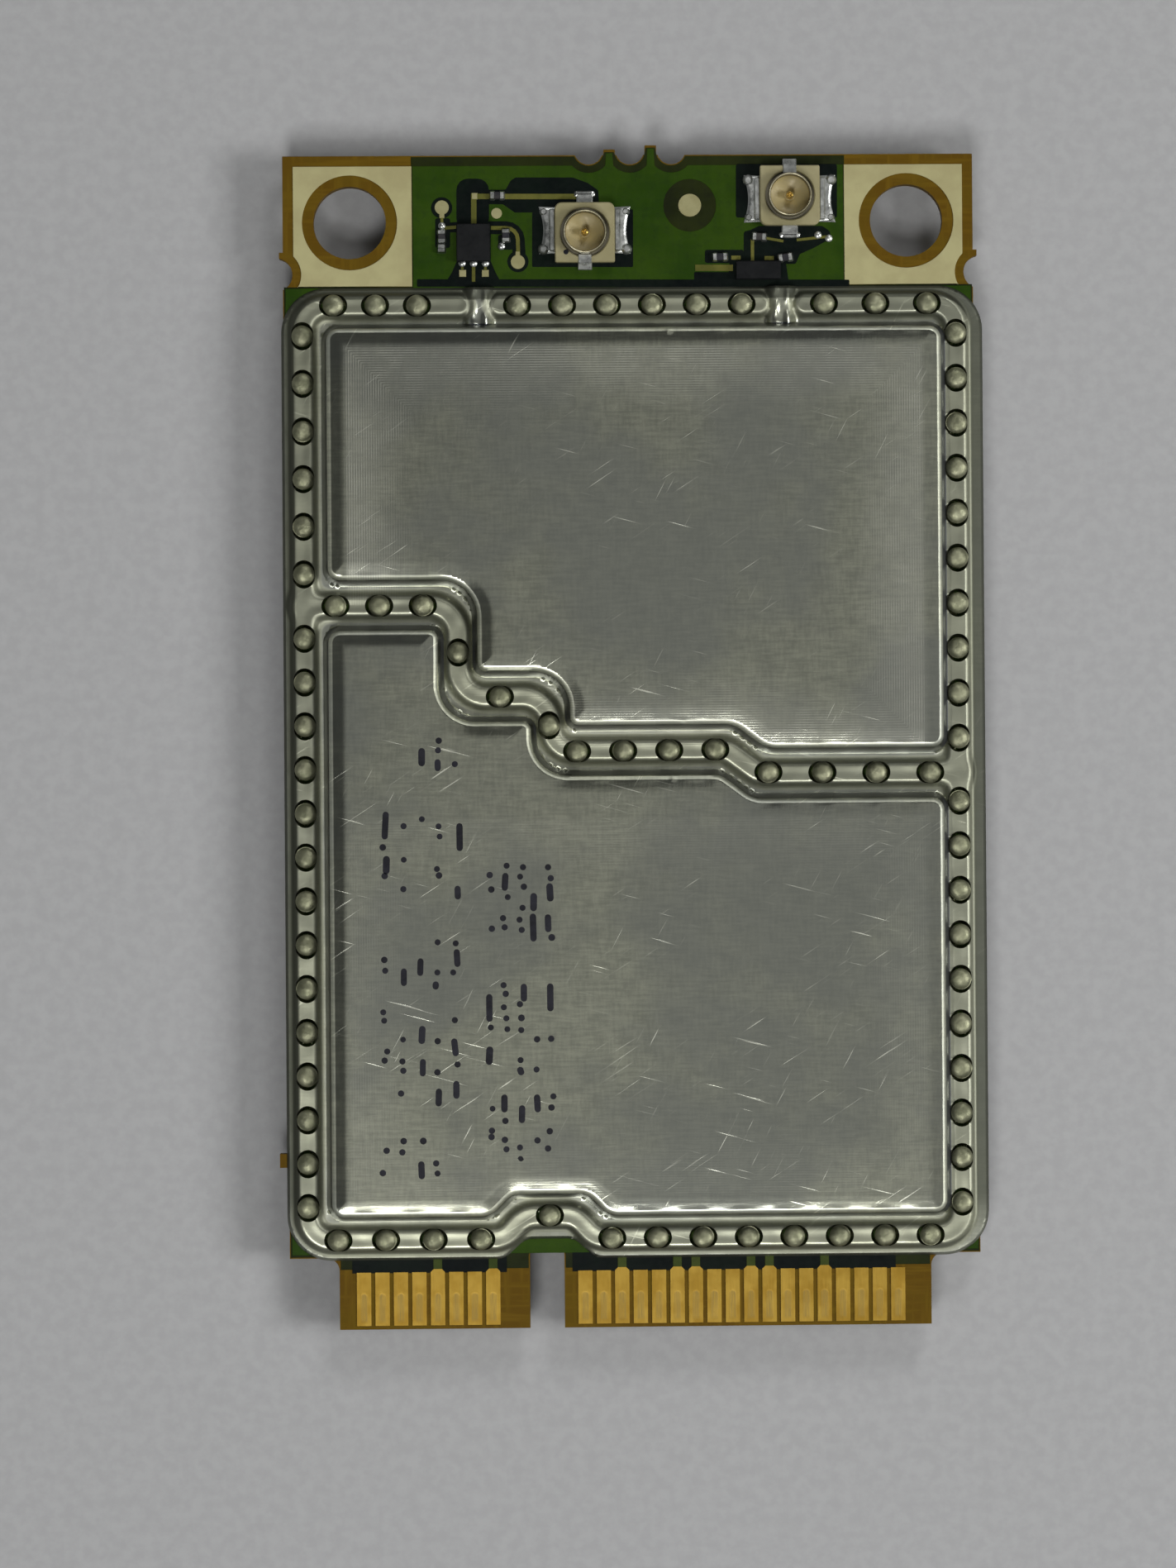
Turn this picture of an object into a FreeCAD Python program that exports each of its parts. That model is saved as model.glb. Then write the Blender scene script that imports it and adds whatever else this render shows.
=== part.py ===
import FreeCAD, Part
import math
import os
import Sketcher
from FreeCAD import Placement, Rotation, Vector

# Radio modem module on a full-size mini card board, in millimetres.
# X runs across the card and Y along it, towards the antenna end. Z points up.
# The origin lies under the middle of the board, on the surface that the card rests on.
# In the sheet, every "_y" place is measured from the free edge of the contact tongue,
# and every "_x" place from the centre line of the card.

SIZES = [
    ("board_width", 30.0, "card width"),
    ("board_length", 50.95, "card length, tongue edge to far edge"),
    ("board_thickness", 1.0, "laminate thickness"),
    ("shoulder_width", 2.15, "width of the shoulder on each side of the tongue"),
    ("shoulder_y", 3.1, "height of the shoulders beside the tongue"),
    ("shoulder_fillet", 0.55, "inner corner radius where tongue meets shoulder"),
    ("key_x", -3.85, "centre of the key slot"),
    ("key_width", 1.5, "width of the key slot"),
    ("key_depth", 3.9, "depth of the key slot, with its round end"),
    ("screw_inset", 2.9, "screw hole centre to the card side and to the far edge"),
    ("screw_radius", 1.575, "screw hole radius"),
    ("side_bite_inset", 5.15, "centre of the side bites, from the far edge"),
    ("side_bite_radius", 0.73, "radius of the side bites"),
    ("side_bite_depth", 0.41, "depth of the side bites"),
    ("side_lip_length", 0.35, "length of the burr above each side bite"),
    ("side_lip_reach", 0.17, "reach of the burr above each side bite"),
    ("panel_bite_x", 0.09, "centre of the middle break-off bite"),
    ("panel_bite_pitch", 1.795, "pitch of the three break-off bites"),
    ("panel_bite_radius", 0.62, "radius of the break-off bites"),
    ("panel_bite_depth", 0.41, "depth of the break-off bites"),
    ("panel_tooth_width", 0.5, "width of the teeth left between the bites"),
    ("panel_tooth_low", 0.24, "reach of the left tooth past the far edge"),
    ("panel_tooth_high", 0.42, "reach of the right tooth past the far edge"),
    ("stub_y", 7.35, "centre of the broken tab on the left side"),
    ("stub_length", 0.6, "length of the broken tab"),
    ("stub_reach", 0.4, "reach of the broken tab"),
    ("copper", 0.04, "thickness of lands, fingers and round pads"),
    ("contact_pitch", 0.8, "finger pitch"),
    ("contact_width", 0.62, "finger width"),
    ("contact_length", 2.31, "finger length"),
    ("contact_setback", 0.16, "bare laminate between finger and tongue edge"),
    ("contact_long", 0.62, "extra length of the tapered ground fingers"),
    ("contact_neck", 0.34, "width of the neck of a ground finger"),
    ("contact_inset", 1.05, "tongue side to the middle of the nearest finger"),
    ("contact_after_key", 1.65, "key slot to the middle of the next top finger"),
    ("contact_before_key", 1.0, "least room between a finger's middle and the slot's side"),
    ("bottom_shift", 0.4, "stagger of the lower fingers"),
    ("pad_border", 0.45, "bare laminate between screw land and card edge"),
    ("pad_margin", 0.64, "copper left between the bare ring and the inner edge of a screw land"),
    ("pad_ring_radius", 2.06, "radius of the bare ring round a screw hole"),
    ("pad_gap", 0.05, "gap between screw land and shield edge"),
    ("pad_bite_gap", 0.38, "bare ring round a side bite"),
    ("film", 0.15, "thickness of the shield film"),
    ("shield_over_left", 0.09, "reach of the flange past the left side of the card"),
    ("shield_over_right", 0.38, "reach of the flange past the right side of the card"),
    ("antenna_strip", 5.74, "open strip of board between the flange and the far edge"),
    ("shield_setback", 0.03, "flange edge inside the line of the shoulders"),
    ("shield_corner", 1.95, "corner radius of the flange"),
    ("bump_rise", 0.82, "rise of the flange edge over the key slot"),
    ("bump_half", 1.05, "half of the flat length of that rise"),
    ("bump_run", 0.95, "run of each slope of that rise"),
    ("bump_shift", 0.13, "middle of that rise, right of the key slot"),
    ("bump_bend", 0.8, "bend radius of that rise"),
    ("rail_left", 0.92, "left flange edge to the ball column"),
    ("rail_right", 1.17, "right flange edge to the ball column"),
    ("rail_top", 0.79, "flange edge to the ball row at the antenna end"),
    ("rail_bottom", 0.77, "flange edge to the ball row at the tongue"),
    ("ball_key_rise", 1.0, "rise of the ball over the key slot"),
    ("ball_radius", 0.445, "solder ball radius"),
    ("ball_foot", 0.3, "radius of the soldered foot of a ball"),
    ("ball_crown", 0.24, "radius of the flat that ends a ball's crown"),
    ("ball_height", 0.8, "height of a ball over the board"),
    ("ball_waist", 0.36, "height of a ball's widest section"),
    ("hole_clearance", 0.06, "gap between ball and snap hole"),
    ("ridge_half", 0.47, "half width of the flat top of the ridge"),
    ("ridge_slope", 0.2, "plan width of each side of the ridge"),
    ("ridge_height", 0.34, "height of the ridge over the flange"),
    ("ridge_corner", 1.05, "corner radius of the ridge's middle line"),
    ("step_one_share", 0.2484, "first upright run of the divider, share of the flange width"),
    ("step_two_share", 0.3794, "second upright run of the divider, share of the flange width"),
    ("step_three_share", 0.6298, "start of the slanted run, share of the flange width"),
    ("step_four_share", 0.6764, "end of the slanted run, share of the flange width"),
    ("divider_one_share", 0.6718, "first level run of the divider, share of the flange length"),
    ("divider_two_share", 0.5772, "second level run of the divider, share of the flange length"),
    ("divider_three_share", 0.5212, "third level run of the divider, share of the flange length"),
    ("divider_four_share", 0.496, "fourth level run of the divider, share of the flange length"),
    ("divider_gap_x", 0.93, "divider line to cavity rim, on upright runs"),
    ("divider_gap_y", 1.17, "divider line to cavity rim, on level runs"),
    ("divider_gap_slant", 0.33, "shift of the rim corners along the slanted run"),
    ("divider_wide_bend", 1.7, "rim radius outside a bend of the divider"),
    ("divider_tight_bend", 0.3, "rim radius inside a bend of the divider"),
    ("rim_gap_left", 1.14, "left ball column to the cavity rims"),
    ("rim_gap_right", 0.78, "right ball column to the cavity rims"),
    ("rim_gap_level", 1.12, "ball rows at both ends to the cavity rims"),
    ("rim_bump_bend", 0.75, "bend radius of the rim over the key slot"),
    ("rim_bump_rise", 0.96, "rise of the rim over the key slot"),
    ("rim_bump_wider", 0.6, "extra half length of that rise against the flange edge"),
    ("rim_corner", 0.45, "corner radius of the rims"),
    ("wall_draft", 0.33, "plan width of a cavity wall, foot to rim"),
    ("rim_round", 0.22, "plan width of the rounded rim"),
    ("upper_height", 1.75, "upper shield height over the board"),
    ("lower_height", 1.25, "lower shield height under the board"),
    ("feed_one_share", -0.448, "arch over the left antenna feed, share of half the card width"),
    ("feed_two_share", 0.438, "arch over the right antenna feed, share of half the card width"),
    ("feed_half", 0.95, "half of the length without ridge at a feed"),
    ("feed_arch", 0.42, "outer radius of a feed arch"),
    ("corner_ball", 1.33, "corner of the ball ring to the nearest ball"),
    ("junction_ball", 1.4, "divider line to the nearest ball of a side column"),
    ("feed_one_before", 2.47, "left feed to the ball on its left"),
    ("feed_one_after", 1.87, "left feed to the ball on its right"),
    ("feed_two_before", 1.67, "right feed to the ball on its left"),
    ("feed_two_after", 1.91, "right feed to the ball on its right"),
    ("step_ball_before", 1.51, "first upright run to the ball on its left"),
    ("step_ball_after", 1.14, "second upright run to the ball on its right"),
    ("slant_ball", 0.44, "ends of the slanted run to the balls beside them"),
    ("bump_ball_before", 2.98, "rise over the key slot to the ball on its left"),
    ("bump_ball_after", 2.7, "rise over the key slot to the ball on its right"),
    ("spur_root", 0.2, "depth to which burrs and teeth run into the laminate"),
    ("side_lip_start", 0.62, "side bite centre to the burr above it"),
    ("arch_root", 0.2, "depth to which a feed arch runs into the cavity wall"),
    ("lower_pitch", 8.7, "ball pitch under the board"),
    ("main_share", -0.257, "left receptacle, share of the room between the screw lands"),
    ("main_inset", 3.39, "left receptacle, from the far edge"),
    ("diversity_share", 0.955, "right receptacle, share of the room between the screw lands"),
    ("diversity_inset", 1.82, "right receptacle, from the far edge"),
    ("socket_body", 2.6, "side of a receptacle's insulator"),
    ("socket_body_height", 0.62, "height of a receptacle's insulator"),
    ("socket_floor", 0.3, "floor inside a receptacle's ring"),
    ("socket_corner", 0.28, "corner cut of a receptacle's insulator"),
    ("socket_height", 1.25, "height of a receptacle's ring"),
    ("socket_ring_outer", 1.0, "outer radius of a receptacle's ring"),
    ("socket_ring_wall", 0.13, "wall of a receptacle's ring"),
    ("socket_span", 4.07, "span over a receptacle's ground feet"),
    ("socket_foot_width", 2.1, "width of a ground foot"),
    ("socket_foot_shift", 0.12, "shift of the ground feet towards the signal foot"),
    ("socket_foot_height", 0.12, "thickness of feet and signal strip"),
    ("socket_pin_radius", 0.19, "centre contact radius"),
    ("socket_pin_height", 0.95, "centre contact height"),
    ("socket_signal_width", 0.8, "width of the signal foot"),
    ("socket_signal_reach", 1.83, "signal foot reach from the centre"),
    ("socket_back_width", 0.62, "width of the small ground foot"),
    ("socket_back_reach", 1.58, "small ground foot reach from the centre"),
    ("socket_strip_gap", 0.1, "insulation round the signal strip"),
    ("matching_length", 0.6, "length of a matching part"),
    ("matching_width", 0.3, "width of a matching part"),
    ("matching_height", 0.28, "height of a matching part"),
]

# Places and sizes that follow from the ones above.
DERIVED = [
    ("half_width", "board_width / 2", "half the card width"),
    ("tongue_half", "half_width - shoulder_width", "half the tongue width"),
    ("screw_x", "half_width - screw_inset", "screw hole centres"),
    ("screw_y", "board_length - screw_inset", "screw hole centres"),
    ("pad_reach", "screw_inset + pad_ring_radius + pad_margin", "screw land, from the card side"),
    ("side_bite_y", "board_length - side_bite_inset", "side bite centres"),
    ("first_top_x", "contact_inset - tongue_half", "first finger of the top face"),
    ("second_top_x", "key_x + contact_after_key", "first top finger right of the key"),
    ("shield_left", "-half_width - shield_over_left", "left edge of the flange"),
    ("shield_right", "half_width + shield_over_right", "right edge of the flange"),
    ("shield_top_y", "board_length - antenna_strip", "flange edge towards the antennas"),
    ("shield_bottom_y", "shoulder_y + shield_setback", "flange edge towards the tongue"),
    ("shield_span", "shield_right - shield_left", "flange width"),
    ("shield_reach", "shield_top_y - shield_bottom_y", "flange length"),
    ("bump_x", "key_x + bump_shift", "middle of the rise over the key slot"),
    ("ball_left", "shield_left + rail_left", "ball column on the left"),
    ("ball_right", "shield_right - rail_right", "ball column on the right"),
    ("ball_top_y", "shield_top_y - rail_top", "ball row towards the antennas"),
    ("ball_bottom_y", "shield_bottom_y + rail_bottom", "ball row towards the tongue"),
    ("ball_key_y", "ball_bottom_y + ball_key_rise", "ball over the key slot"),
    ("step_one_x", "shield_left + step_one_share * shield_span", "first upright run of the divider"),
    ("step_two_x", "shield_left + step_two_share * shield_span", "second upright run of the divider"),
    ("step_three_x", "shield_left + step_three_share * shield_span", "start of the slanted run"),
    ("step_four_x", "shield_left + step_four_share * shield_span", "end of the slanted run"),
    ("divider_one_y", "shield_bottom_y + divider_one_share * shield_reach", "first level run"),
    ("divider_two_y", "shield_bottom_y + divider_two_share * shield_reach", "second level run"),
    ("divider_three_y", "shield_bottom_y + divider_three_share * shield_reach", "third level run"),
    ("divider_four_y", "shield_bottom_y + divider_four_share * shield_reach", "fourth level run"),
    ("rim_left", "ball_left + rim_gap_left", "left rim of both cavities"),
    ("rim_right", "ball_right - rim_gap_right", "right rim of both cavities"),
    ("rim_top_y", "ball_top_y - rim_gap_level", "rim towards the antennas"),
    ("rim_bottom_y", "ball_bottom_y + rim_gap_level", "rim towards the tongue"),
    ("rim_bump_y", "rim_bottom_y + rim_bump_rise", "rim over the key slot"),
    ("feed_one_x", "feed_one_share * half_width", "arch over the left antenna feed"),
    ("feed_two_x", "feed_two_share * half_width", "arch over the right antenna feed"),
    ("land_edge", "half_width - pad_reach", "inner edge of the screw lands, from the centre line"),
    ("socket_room", "land_edge - socket_span / 2", "furthest place of a receptacle"),
    ("main_x", "main_share * socket_room", "left receptacle"),
    ("main_y", "board_length - main_inset", "left receptacle"),
    ("diversity_x", "diversity_share * socket_room", "right receptacle"),
    ("diversity_y", "board_length - diversity_inset", "right receptacle"),
]

# Closed chips under the shields: name, place, length along X, width along Y, height, and the face that
# carries it. A place is a share of half the card width and a share of the flange length.
CHIPS = [
    ("radio_transceiver", (0.267, 0.734), 7.0, 7.0, 0.95, "top"),
    ("reference_crystal", (0.707, 0.643), 3.2, 2.5, 0.9, "top"),
    ("baseband_processor", (0.413, 0.263), 11.0, 11.0, 1.2, "top"),
    ("memory_stack", (-0.44, 0.263), 8.0, 9.8, 1.1, "top"),
    ("power_manager", (-0.593, 0.487), 5.0, 4.9, 0.9, "top"),
]

# Groups of like chips under the shields: name, length, width, height, face, and their places.
CHIP_GROUPS = [
    ("power_amplifiers", 4.0, 4.0, 1.0, "top",
     [(-0.64, 0.867), (-0.253, 0.867)]),
    ("duplex_filters", 3.0, 2.5, 1.1, "top",
     [(-0.707, 0.762), (-0.427, 0.762), (-0.147, 0.762)]),
    ("radio_capacitors", 1.0, 0.5, 0.5, "top",
     [(-0.027, 0.905), (-0.027, 0.867), (-0.027, 0.829), (0.213, 0.89),
      (0.4, 0.89), (0.693, 0.805), (0.693, 0.757), (-0.08, 0.653)]),
    ("power_inductors", 2.5, 2.0, 1.0, "top",
     [(-0.747, 0.601), (-0.24, 0.45)]),
    ("baseband_capacitors", 1.0, 0.5, 0.5, "top",
     [(0.027, 0.439), (0.173, 0.439), (0.32, 0.439), (0.467, 0.439),
      (-0.44, 0.092), (-0.307, 0.101), (0.107, 0.087), (0.373, 0.087)]),
    ("supply_regulators", 3.0, 3.0, 0.85, "under",
     [(-0.533, 0.211), (-0.533, 0.353), (0.567, 0.639)]),
    ("underside_capacitors", 1.0, 0.5, 0.5, "under",
     [(-0.267, 0.211), (-0.267, 0.258), (-0.267, 0.306), (-0.267, 0.353),
      (0.2, 0.258), (0.333, 0.258), (0.467, 0.258), (0.333, 0.639)]),
]

# Chips beside the receptacles. A place is a share of the room between the screw lands and a distance
# from the far edge.
STRIP_CHIPS = [
    ("antenna_switch", (-0.717, 3.81), 1.5, 1.7, 0.55),
    ("receive_filter", (0.598, 4.8), 1.3, 1.0, 0.5),
]

# Two-ended matching parts in the same strip: place, and whether they lie along the card.
MATCHING_PARTS = [
    ((-0.861, 3.38), True),
    ((-0.567, 3.49), True),
    ((-0.606, 1.73), False),
    ((0.605, 3.83), False),
    ((0.431, 4.45), False),
    ((0.739, 4.45), False),
]

# Bare round copper in the same strip: place and radius. The largest is the mark that cameras find the
# board by.
ROUND_PADS = [
    ((-0.861, 2.26), 0.32),
    ((-0.512, 4.62), 0.32),
    ((-0.609, 2.53), 0.23),
    ((0.285, 2.2), 0.5),
    ((-0.767, 5.13), 0.19),
    ((-0.664, 5.13), 0.19),
]

# Bends of the formed film are chords that turn by about this angle, and balls and holes have flat sides.
CHORD_TURN = 45.0
BALL_SIDES = 6
HOLE_SIDES = 6
ROUND_PAD_SIDES = 10
SOCKET_SIDES = 14
PIN_SIDES = 8
LAND_RING_SIDES = 16

document = FreeCAD.newDocument("modem_module")
sheet = document.addObject("Spreadsheet::Sheet", "Sizes")
rows = [(alias, str(number), meaning) for alias, number, meaning in SIZES]
rows += [(alias, "=" + formula, meaning) for alias, formula, meaning in DERIVED]
for row, (alias, content, meaning) in enumerate(rows, start=1):
    sheet.set("A%d" % row, meaning)
    sheet.set("B%d" % row, content)
    sheet.setAlias("B%d" % row, alias)
document.recompute()

nodes = []


def size(alias):
    return float(sheet.get(alias))


def value(expression):
    return float(sheet.evalExpression(expression))


def add_node(item, name):
    item.Label = name
    nodes.append(item)
    return item


# Heights and places that follow from the sheet.
BOARD_BOTTOM = "Sizes.lower_height"
BOARD_TOP = "(Sizes.lower_height + Sizes.board_thickness)"
HALF_LENGTH = "Sizes.board_length / 2"
board_bottom = value(BOARD_BOTTOM)
board_top = value(BOARD_TOP)
edge_y = -value(HALF_LENGTH)


# Sketch helpers: each shape is pinned to the origin by distances bound to the sheet.

def plane_of(body, role):
    return next(item for item in body.Origin.OriginFeatures if item.Role == role)


def new_sketch(body, name, height):
    sketch = body.newObject("Sketcher::SketchObject", name)
    sketch.AttachmentSupport = [(plane_of(body, "XY_Plane"), "")]
    sketch.MapMode = "FlatFace"
    sketch.setExpression("AttachmentOffset.Base.z", height)
    return sketch


def pin_distance(sketch, kind, line, point, expression):
    """Hold one coordinate of a point at an expression of the sheet."""
    constraint = Sketcher.Constraint(kind, -1, 1, line, point, value(expression))
    index = sketch.addConstraint(constraint)
    sketch.setExpression("Constraints[%d]" % index, expression)


def add_rectangle(sketch, left, bottom, right, top):
    """Rectangle between four expressions."""
    x0, y0, x1, y1 = (value(text) for text in (left, bottom, right, top))
    corners = [Vector(x0, y0), Vector(x1, y0), Vector(x1, y1), Vector(x0, y1)]
    first = sketch.GeometryCount
    for start, end in zip(corners, corners[1:] + corners[:1]):
        sketch.addGeometry(Part.LineSegment(start, end), False)
    for side in range(4):
        following = first + (side + 1) % 4
        sketch.addConstraint(Sketcher.Constraint("Coincident", first + side, 2, following, 1))
        direction = "Horizontal" if side % 2 == 0 else "Vertical"
        sketch.addConstraint(Sketcher.Constraint(direction, first + side))
    pin_distance(sketch, "DistanceX", first, 1, left)
    pin_distance(sketch, "DistanceY", first, 1, bottom)
    pin_distance(sketch, "DistanceX", first + 2, 1, right)
    pin_distance(sketch, "DistanceY", first + 2, 1, top)


def add_circle(sketch, x, y, radius):
    """Circle whose centre and radius are expressions."""
    centre = Vector(value(x), value(y))
    index = sketch.addGeometry(Part.Circle(centre, Vector(0, 0, 1), value(radius)), False)
    pin_distance(sketch, "DistanceX", index, 3, x)
    pin_distance(sketch, "DistanceY", index, 3, y)
    held = sketch.addConstraint(Sketcher.Constraint("Radius", index, value(radius)))
    sketch.setExpression("Constraints[%d]" % held, radius)


def pad(body, sketch, name, length):
    feature = body.newObject("PartDesign::Pad", name)
    feature.Profile = sketch
    feature.setExpression("Length", length)
    return feature


def pocket_through(body, sketch, name):
    """Cut a sketch that lies under the body upwards through all of it."""
    before = body.Shape.Volume
    feature = body.newObject("PartDesign::Pocket", name)
    feature.Profile = sketch
    feature.Type = "ThroughAll"
    feature.Reversed = True
    document.recompute()
    if body.Shape.Volume >= before - 1e-6:
        raise RuntimeError(name + " cuts nothing")
    return feature


# Outline helpers. An outline is a list of (x, y, radius) corners, x and y in the part's frame.

def card_point(x, y, radius=0.0):
    """Corner whose y is given from the tongue edge."""
    return (x, y + edge_y, radius)


def shifted(outline, distance, closed=True):
    """Outline moved sideways by distance, to the left of its own direction, with its bends kept round."""
    count = len(outline)
    moved = []
    for index, (x, y, radius) in enumerate(outline):
        here = Vector(x, y)
        before = outline[index - 1] if closed or index else None
        after = outline[(index + 1) % count] if closed or index < count - 1 else None
        way_in = (here - Vector(before[0], before[1])).normalize() if before else None
        way_out = (Vector(after[0], after[1]) - here).normalize() if after else None
        way_in = way_in or way_out
        way_out = way_out or way_in
        left_in = Vector(-way_in.y, way_in.x)
        left_out = Vector(-way_out.y, way_out.x)
        middle = (left_in + left_out).normalize()
        corner = here + middle * (distance / middle.dot(left_in))
        turn = way_in.cross(way_out).z
        bend = radius - distance if turn > 0 else radius + distance
        moved.append((corner.x, corner.y, max(bend, 0.05) if radius else 0.0))
    return moved


def rounded_wire(outline, z):
    """Closed wire through the corners, each bend a tangent arc of its radius."""
    count = len(outline)
    arcs = []
    for index, (x, y, radius) in enumerate(outline):
        here = Vector(x, y, z)
        before = outline[index - 1]
        after = outline[(index + 1) % count]
        way_in = (here - Vector(before[0], before[1], z)).normalize()
        way_out = (Vector(after[0], after[1], z) - here).normalize()
        turn = way_in.getAngle(way_out)
        reach = radius * math.tan(turn / 2)
        inward = (way_out - way_in).normalize()
        middle = here + inward * (radius / math.cos(turn / 2) - radius)
        arcs.append((here - way_in * reach, middle, here + way_out * reach))
    edges = []
    for index, (start, middle, end) in enumerate(arcs):
        following = arcs[(index + 1) % count][0]
        edges.append(Part.Arc(start, middle, end).toShape())
        edges.append(Part.LineSegment(end, following).toShape())
    return Part.Wire(edges)


def chord_points(outline, closed=True):
    """Places along an outline whose bends are drawn as short equal chords."""
    count = len(outline)
    places = []
    for index, (x, y, radius) in enumerate(outline):
        here = Vector(x, y)
        if radius == 0 or (not closed and index in (0, count - 1)):
            places.append(here)
            continue
        before = outline[index - 1]
        after = outline[(index + 1) % count]
        way_in = (here - Vector(before[0], before[1])).normalize()
        way_out = (Vector(after[0], after[1]) - here).normalize()
        turn = way_in.getAngle(way_out)
        inward = (way_out - way_in).normalize()
        centre = here + inward * (radius / math.cos(turn / 2))
        chords = max(1, round(turn / math.radians(CHORD_TURN)))
        sense = math.copysign(1, way_in.cross(way_out).z)
        for step in range(chords + 1):
            swing = sense * turn * (step / chords - 0.5)
            away = -inward
            spoke = Vector(away.x * math.cos(swing) - away.y * math.sin(swing),
                           away.x * math.sin(swing) + away.y * math.cos(swing))
            places.append(centre + spoke * radius)
    return places


def flat_sided(rings):
    """Closed solid with flat faces through rings of places, each given as (places, z)."""
    faces = []
    lifted = [[Vector(place.x, place.y, z) for place in places] for places, z in rings]
    for low, high in zip(lifted, lifted[1:]):
        for index in range(len(low)):
            after = (index + 1) % len(low)
            corners = [low[index], low[after], high[after], high[index]]
            faces.append(Part.Face(Part.makePolygon(corners + corners[:1])))
    for ring in (lifted[0], lifted[-1]):
        faces.append(Part.Face(Part.makePolygon(ring + ring[:1])))
    solid = Part.Solid(Part.Shell(faces))
    if solid.Volume < 0:
        solid.reverse()
    return solid


def drafted(levels):
    """Solid through closed outlines, each given as (outline, z)."""
    return flat_sided([(chord_points(outline), z) for outline, z in levels])


def band_solid(path, levels):
    """Solid along an open path, from (half width, z) levels."""
    rings = []
    for half, z in levels:
        left = chord_points(shifted(path, half, closed=False), closed=False)
        right = chord_points(shifted(path, -half, closed=False), closed=False)
        rings.append((left + right[::-1], z))
    return flat_sided(rings)


def row_points(start, end, count):
    """Evenly spaced places from start to end, both included."""
    step = (end - start) / (count - 1)
    return [start + step * index for index in range(count)]


# Circuit board: a blank with the tongue, key slot, holes and the bites of the panel.

def make_board():
    board = document.addObject("PartDesign::Body", "Board")
    half = "Sizes.board_width / 2"
    far_edge = HALF_LENGTH
    shoulder = "Sizes.shoulder_y - " + HALF_LENGTH
    blank = new_sketch(board, "BlankSketch", BOARD_BOTTOM)
    add_rectangle(blank, "-" + half, shoulder, half, far_edge)
    pad(board, blank, "Blank", "Sizes.board_thickness")
    document.recompute()
    tongue = new_sketch(board, "TongueSketch", BOARD_BOTTOM)
    tongue_half = "Sizes.tongue_half"
    add_rectangle(tongue, "-" + tongue_half, "-" + HALF_LENGTH, tongue_half,
                  shoulder + " + Sizes.shoulder_y / 2")
    pad(board, tongue, "Tongue", "Sizes.board_thickness")
    document.recompute()
    plain = board.Tip
    corners = []
    for index, edge in enumerate(plain.Shape.Edges, start=1):
        middle = edge.CenterOfMass
        at_side = abs(abs(middle.x) - value(tongue_half)) < 1e-4
        if at_side and abs(middle.y - value(shoulder)) < 1e-4 and edge.Length < 2 * size("board_thickness"):
            corners.append("Edge%d" % index)
    fillet = board.newObject("PartDesign::Fillet", "ShoulderFillet")
    fillet.Base = (plain, corners)
    fillet.setExpression("Radius", "Sizes.shoulder_fillet")
    document.recompute()

    spurs = new_sketch(board, "SpurSketch", BOARD_BOTTOM)
    tooth = "Sizes.panel_tooth_width / 2"
    for side, reach in (("-", "Sizes.panel_tooth_low"), ("+", "Sizes.panel_tooth_high")):
        middle = "Sizes.panel_bite_x %s Sizes.panel_bite_pitch / 2" % side
        add_rectangle(spurs, middle + " - " + tooth, far_edge + " - Sizes.spur_root",
                      middle + " + " + tooth, far_edge + " + " + reach)
    lip_bottom = "Sizes.side_bite_y + Sizes.side_lip_start - " + HALF_LENGTH
    lip_top = lip_bottom + " + Sizes.side_lip_length"
    root = "%s - Sizes.spur_root" % half
    add_rectangle(spurs, "-%s - Sizes.side_lip_reach" % half, lip_bottom, "-(%s)" % root, lip_top)
    add_rectangle(spurs, root, lip_bottom, half + " + Sizes.side_lip_reach", lip_top)
    stub_bottom = "Sizes.stub_y - Sizes.stub_length / 2 - " + HALF_LENGTH
    stub_top = "Sizes.stub_y + Sizes.stub_length / 2 - " + HALF_LENGTH
    add_rectangle(spurs, "-%s - Sizes.stub_reach" % half, stub_bottom, "-(%s)" % root, stub_top)
    pad(board, spurs, "Spurs", "Sizes.board_thickness")
    document.recompute()

    openings = new_sketch(board, "OpeningSketch", "0 * " + BOARD_BOTTOM)
    hole_y = "Sizes.screw_y - " + HALF_LENGTH
    add_circle(openings, "-Sizes.screw_x", hole_y, "Sizes.screw_radius")
    add_circle(openings, "Sizes.screw_x", hole_y, "Sizes.screw_radius")
    pocket_through(board, openings, "ScrewHoles")

    bites = new_sketch(board, "BiteSketch", "0 * " + BOARD_BOTTOM)
    bite_y = "Sizes.side_bite_y - " + HALF_LENGTH
    bite_x = "(%s - Sizes.side_bite_depth + Sizes.side_bite_radius)" % half
    add_circle(bites, "-" + bite_x, bite_y, "Sizes.side_bite_radius")
    add_circle(bites, bite_x, bite_y, "Sizes.side_bite_radius")
    panel_y = far_edge + " - Sizes.panel_bite_depth + Sizes.panel_bite_radius"
    for index in (-1, 0, 1):
        add_circle(bites, "Sizes.panel_bite_x + %d * Sizes.panel_bite_pitch" % index, panel_y,
                   "Sizes.panel_bite_radius")
    pocket_through(board, bites, "PanelBites")

    slot = new_sketch(board, "KeySketch", "0 * " + BOARD_BOTTOM)
    key_half = "Sizes.key_width / 2"
    add_rectangle(slot, "Sizes.key_x - " + key_half, "-%s - 1" % HALF_LENGTH,
                  "Sizes.key_x + " + key_half, "Sizes.key_depth - %s - %s" % (key_half, HALF_LENGTH))
    pocket_through(board, slot, "KeySlot")
    slot_end = new_sketch(board, "KeyEndSketch", "0 * " + BOARD_BOTTOM)
    add_circle(slot_end, "Sizes.key_x", "Sizes.key_depth - %s - %s" % (key_half, HALF_LENGTH), key_half)
    pocket_through(board, slot_end, "KeyEnd")
    return add_node(board, "circuit_board")


# Thin copper and gold pieces that lie on a board face.

def slab(outline, bottom, thickness):
    face = Part.Face(rounded_wire(outline, bottom))
    return face.extrude(Vector(0, 0, thickness))


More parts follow.
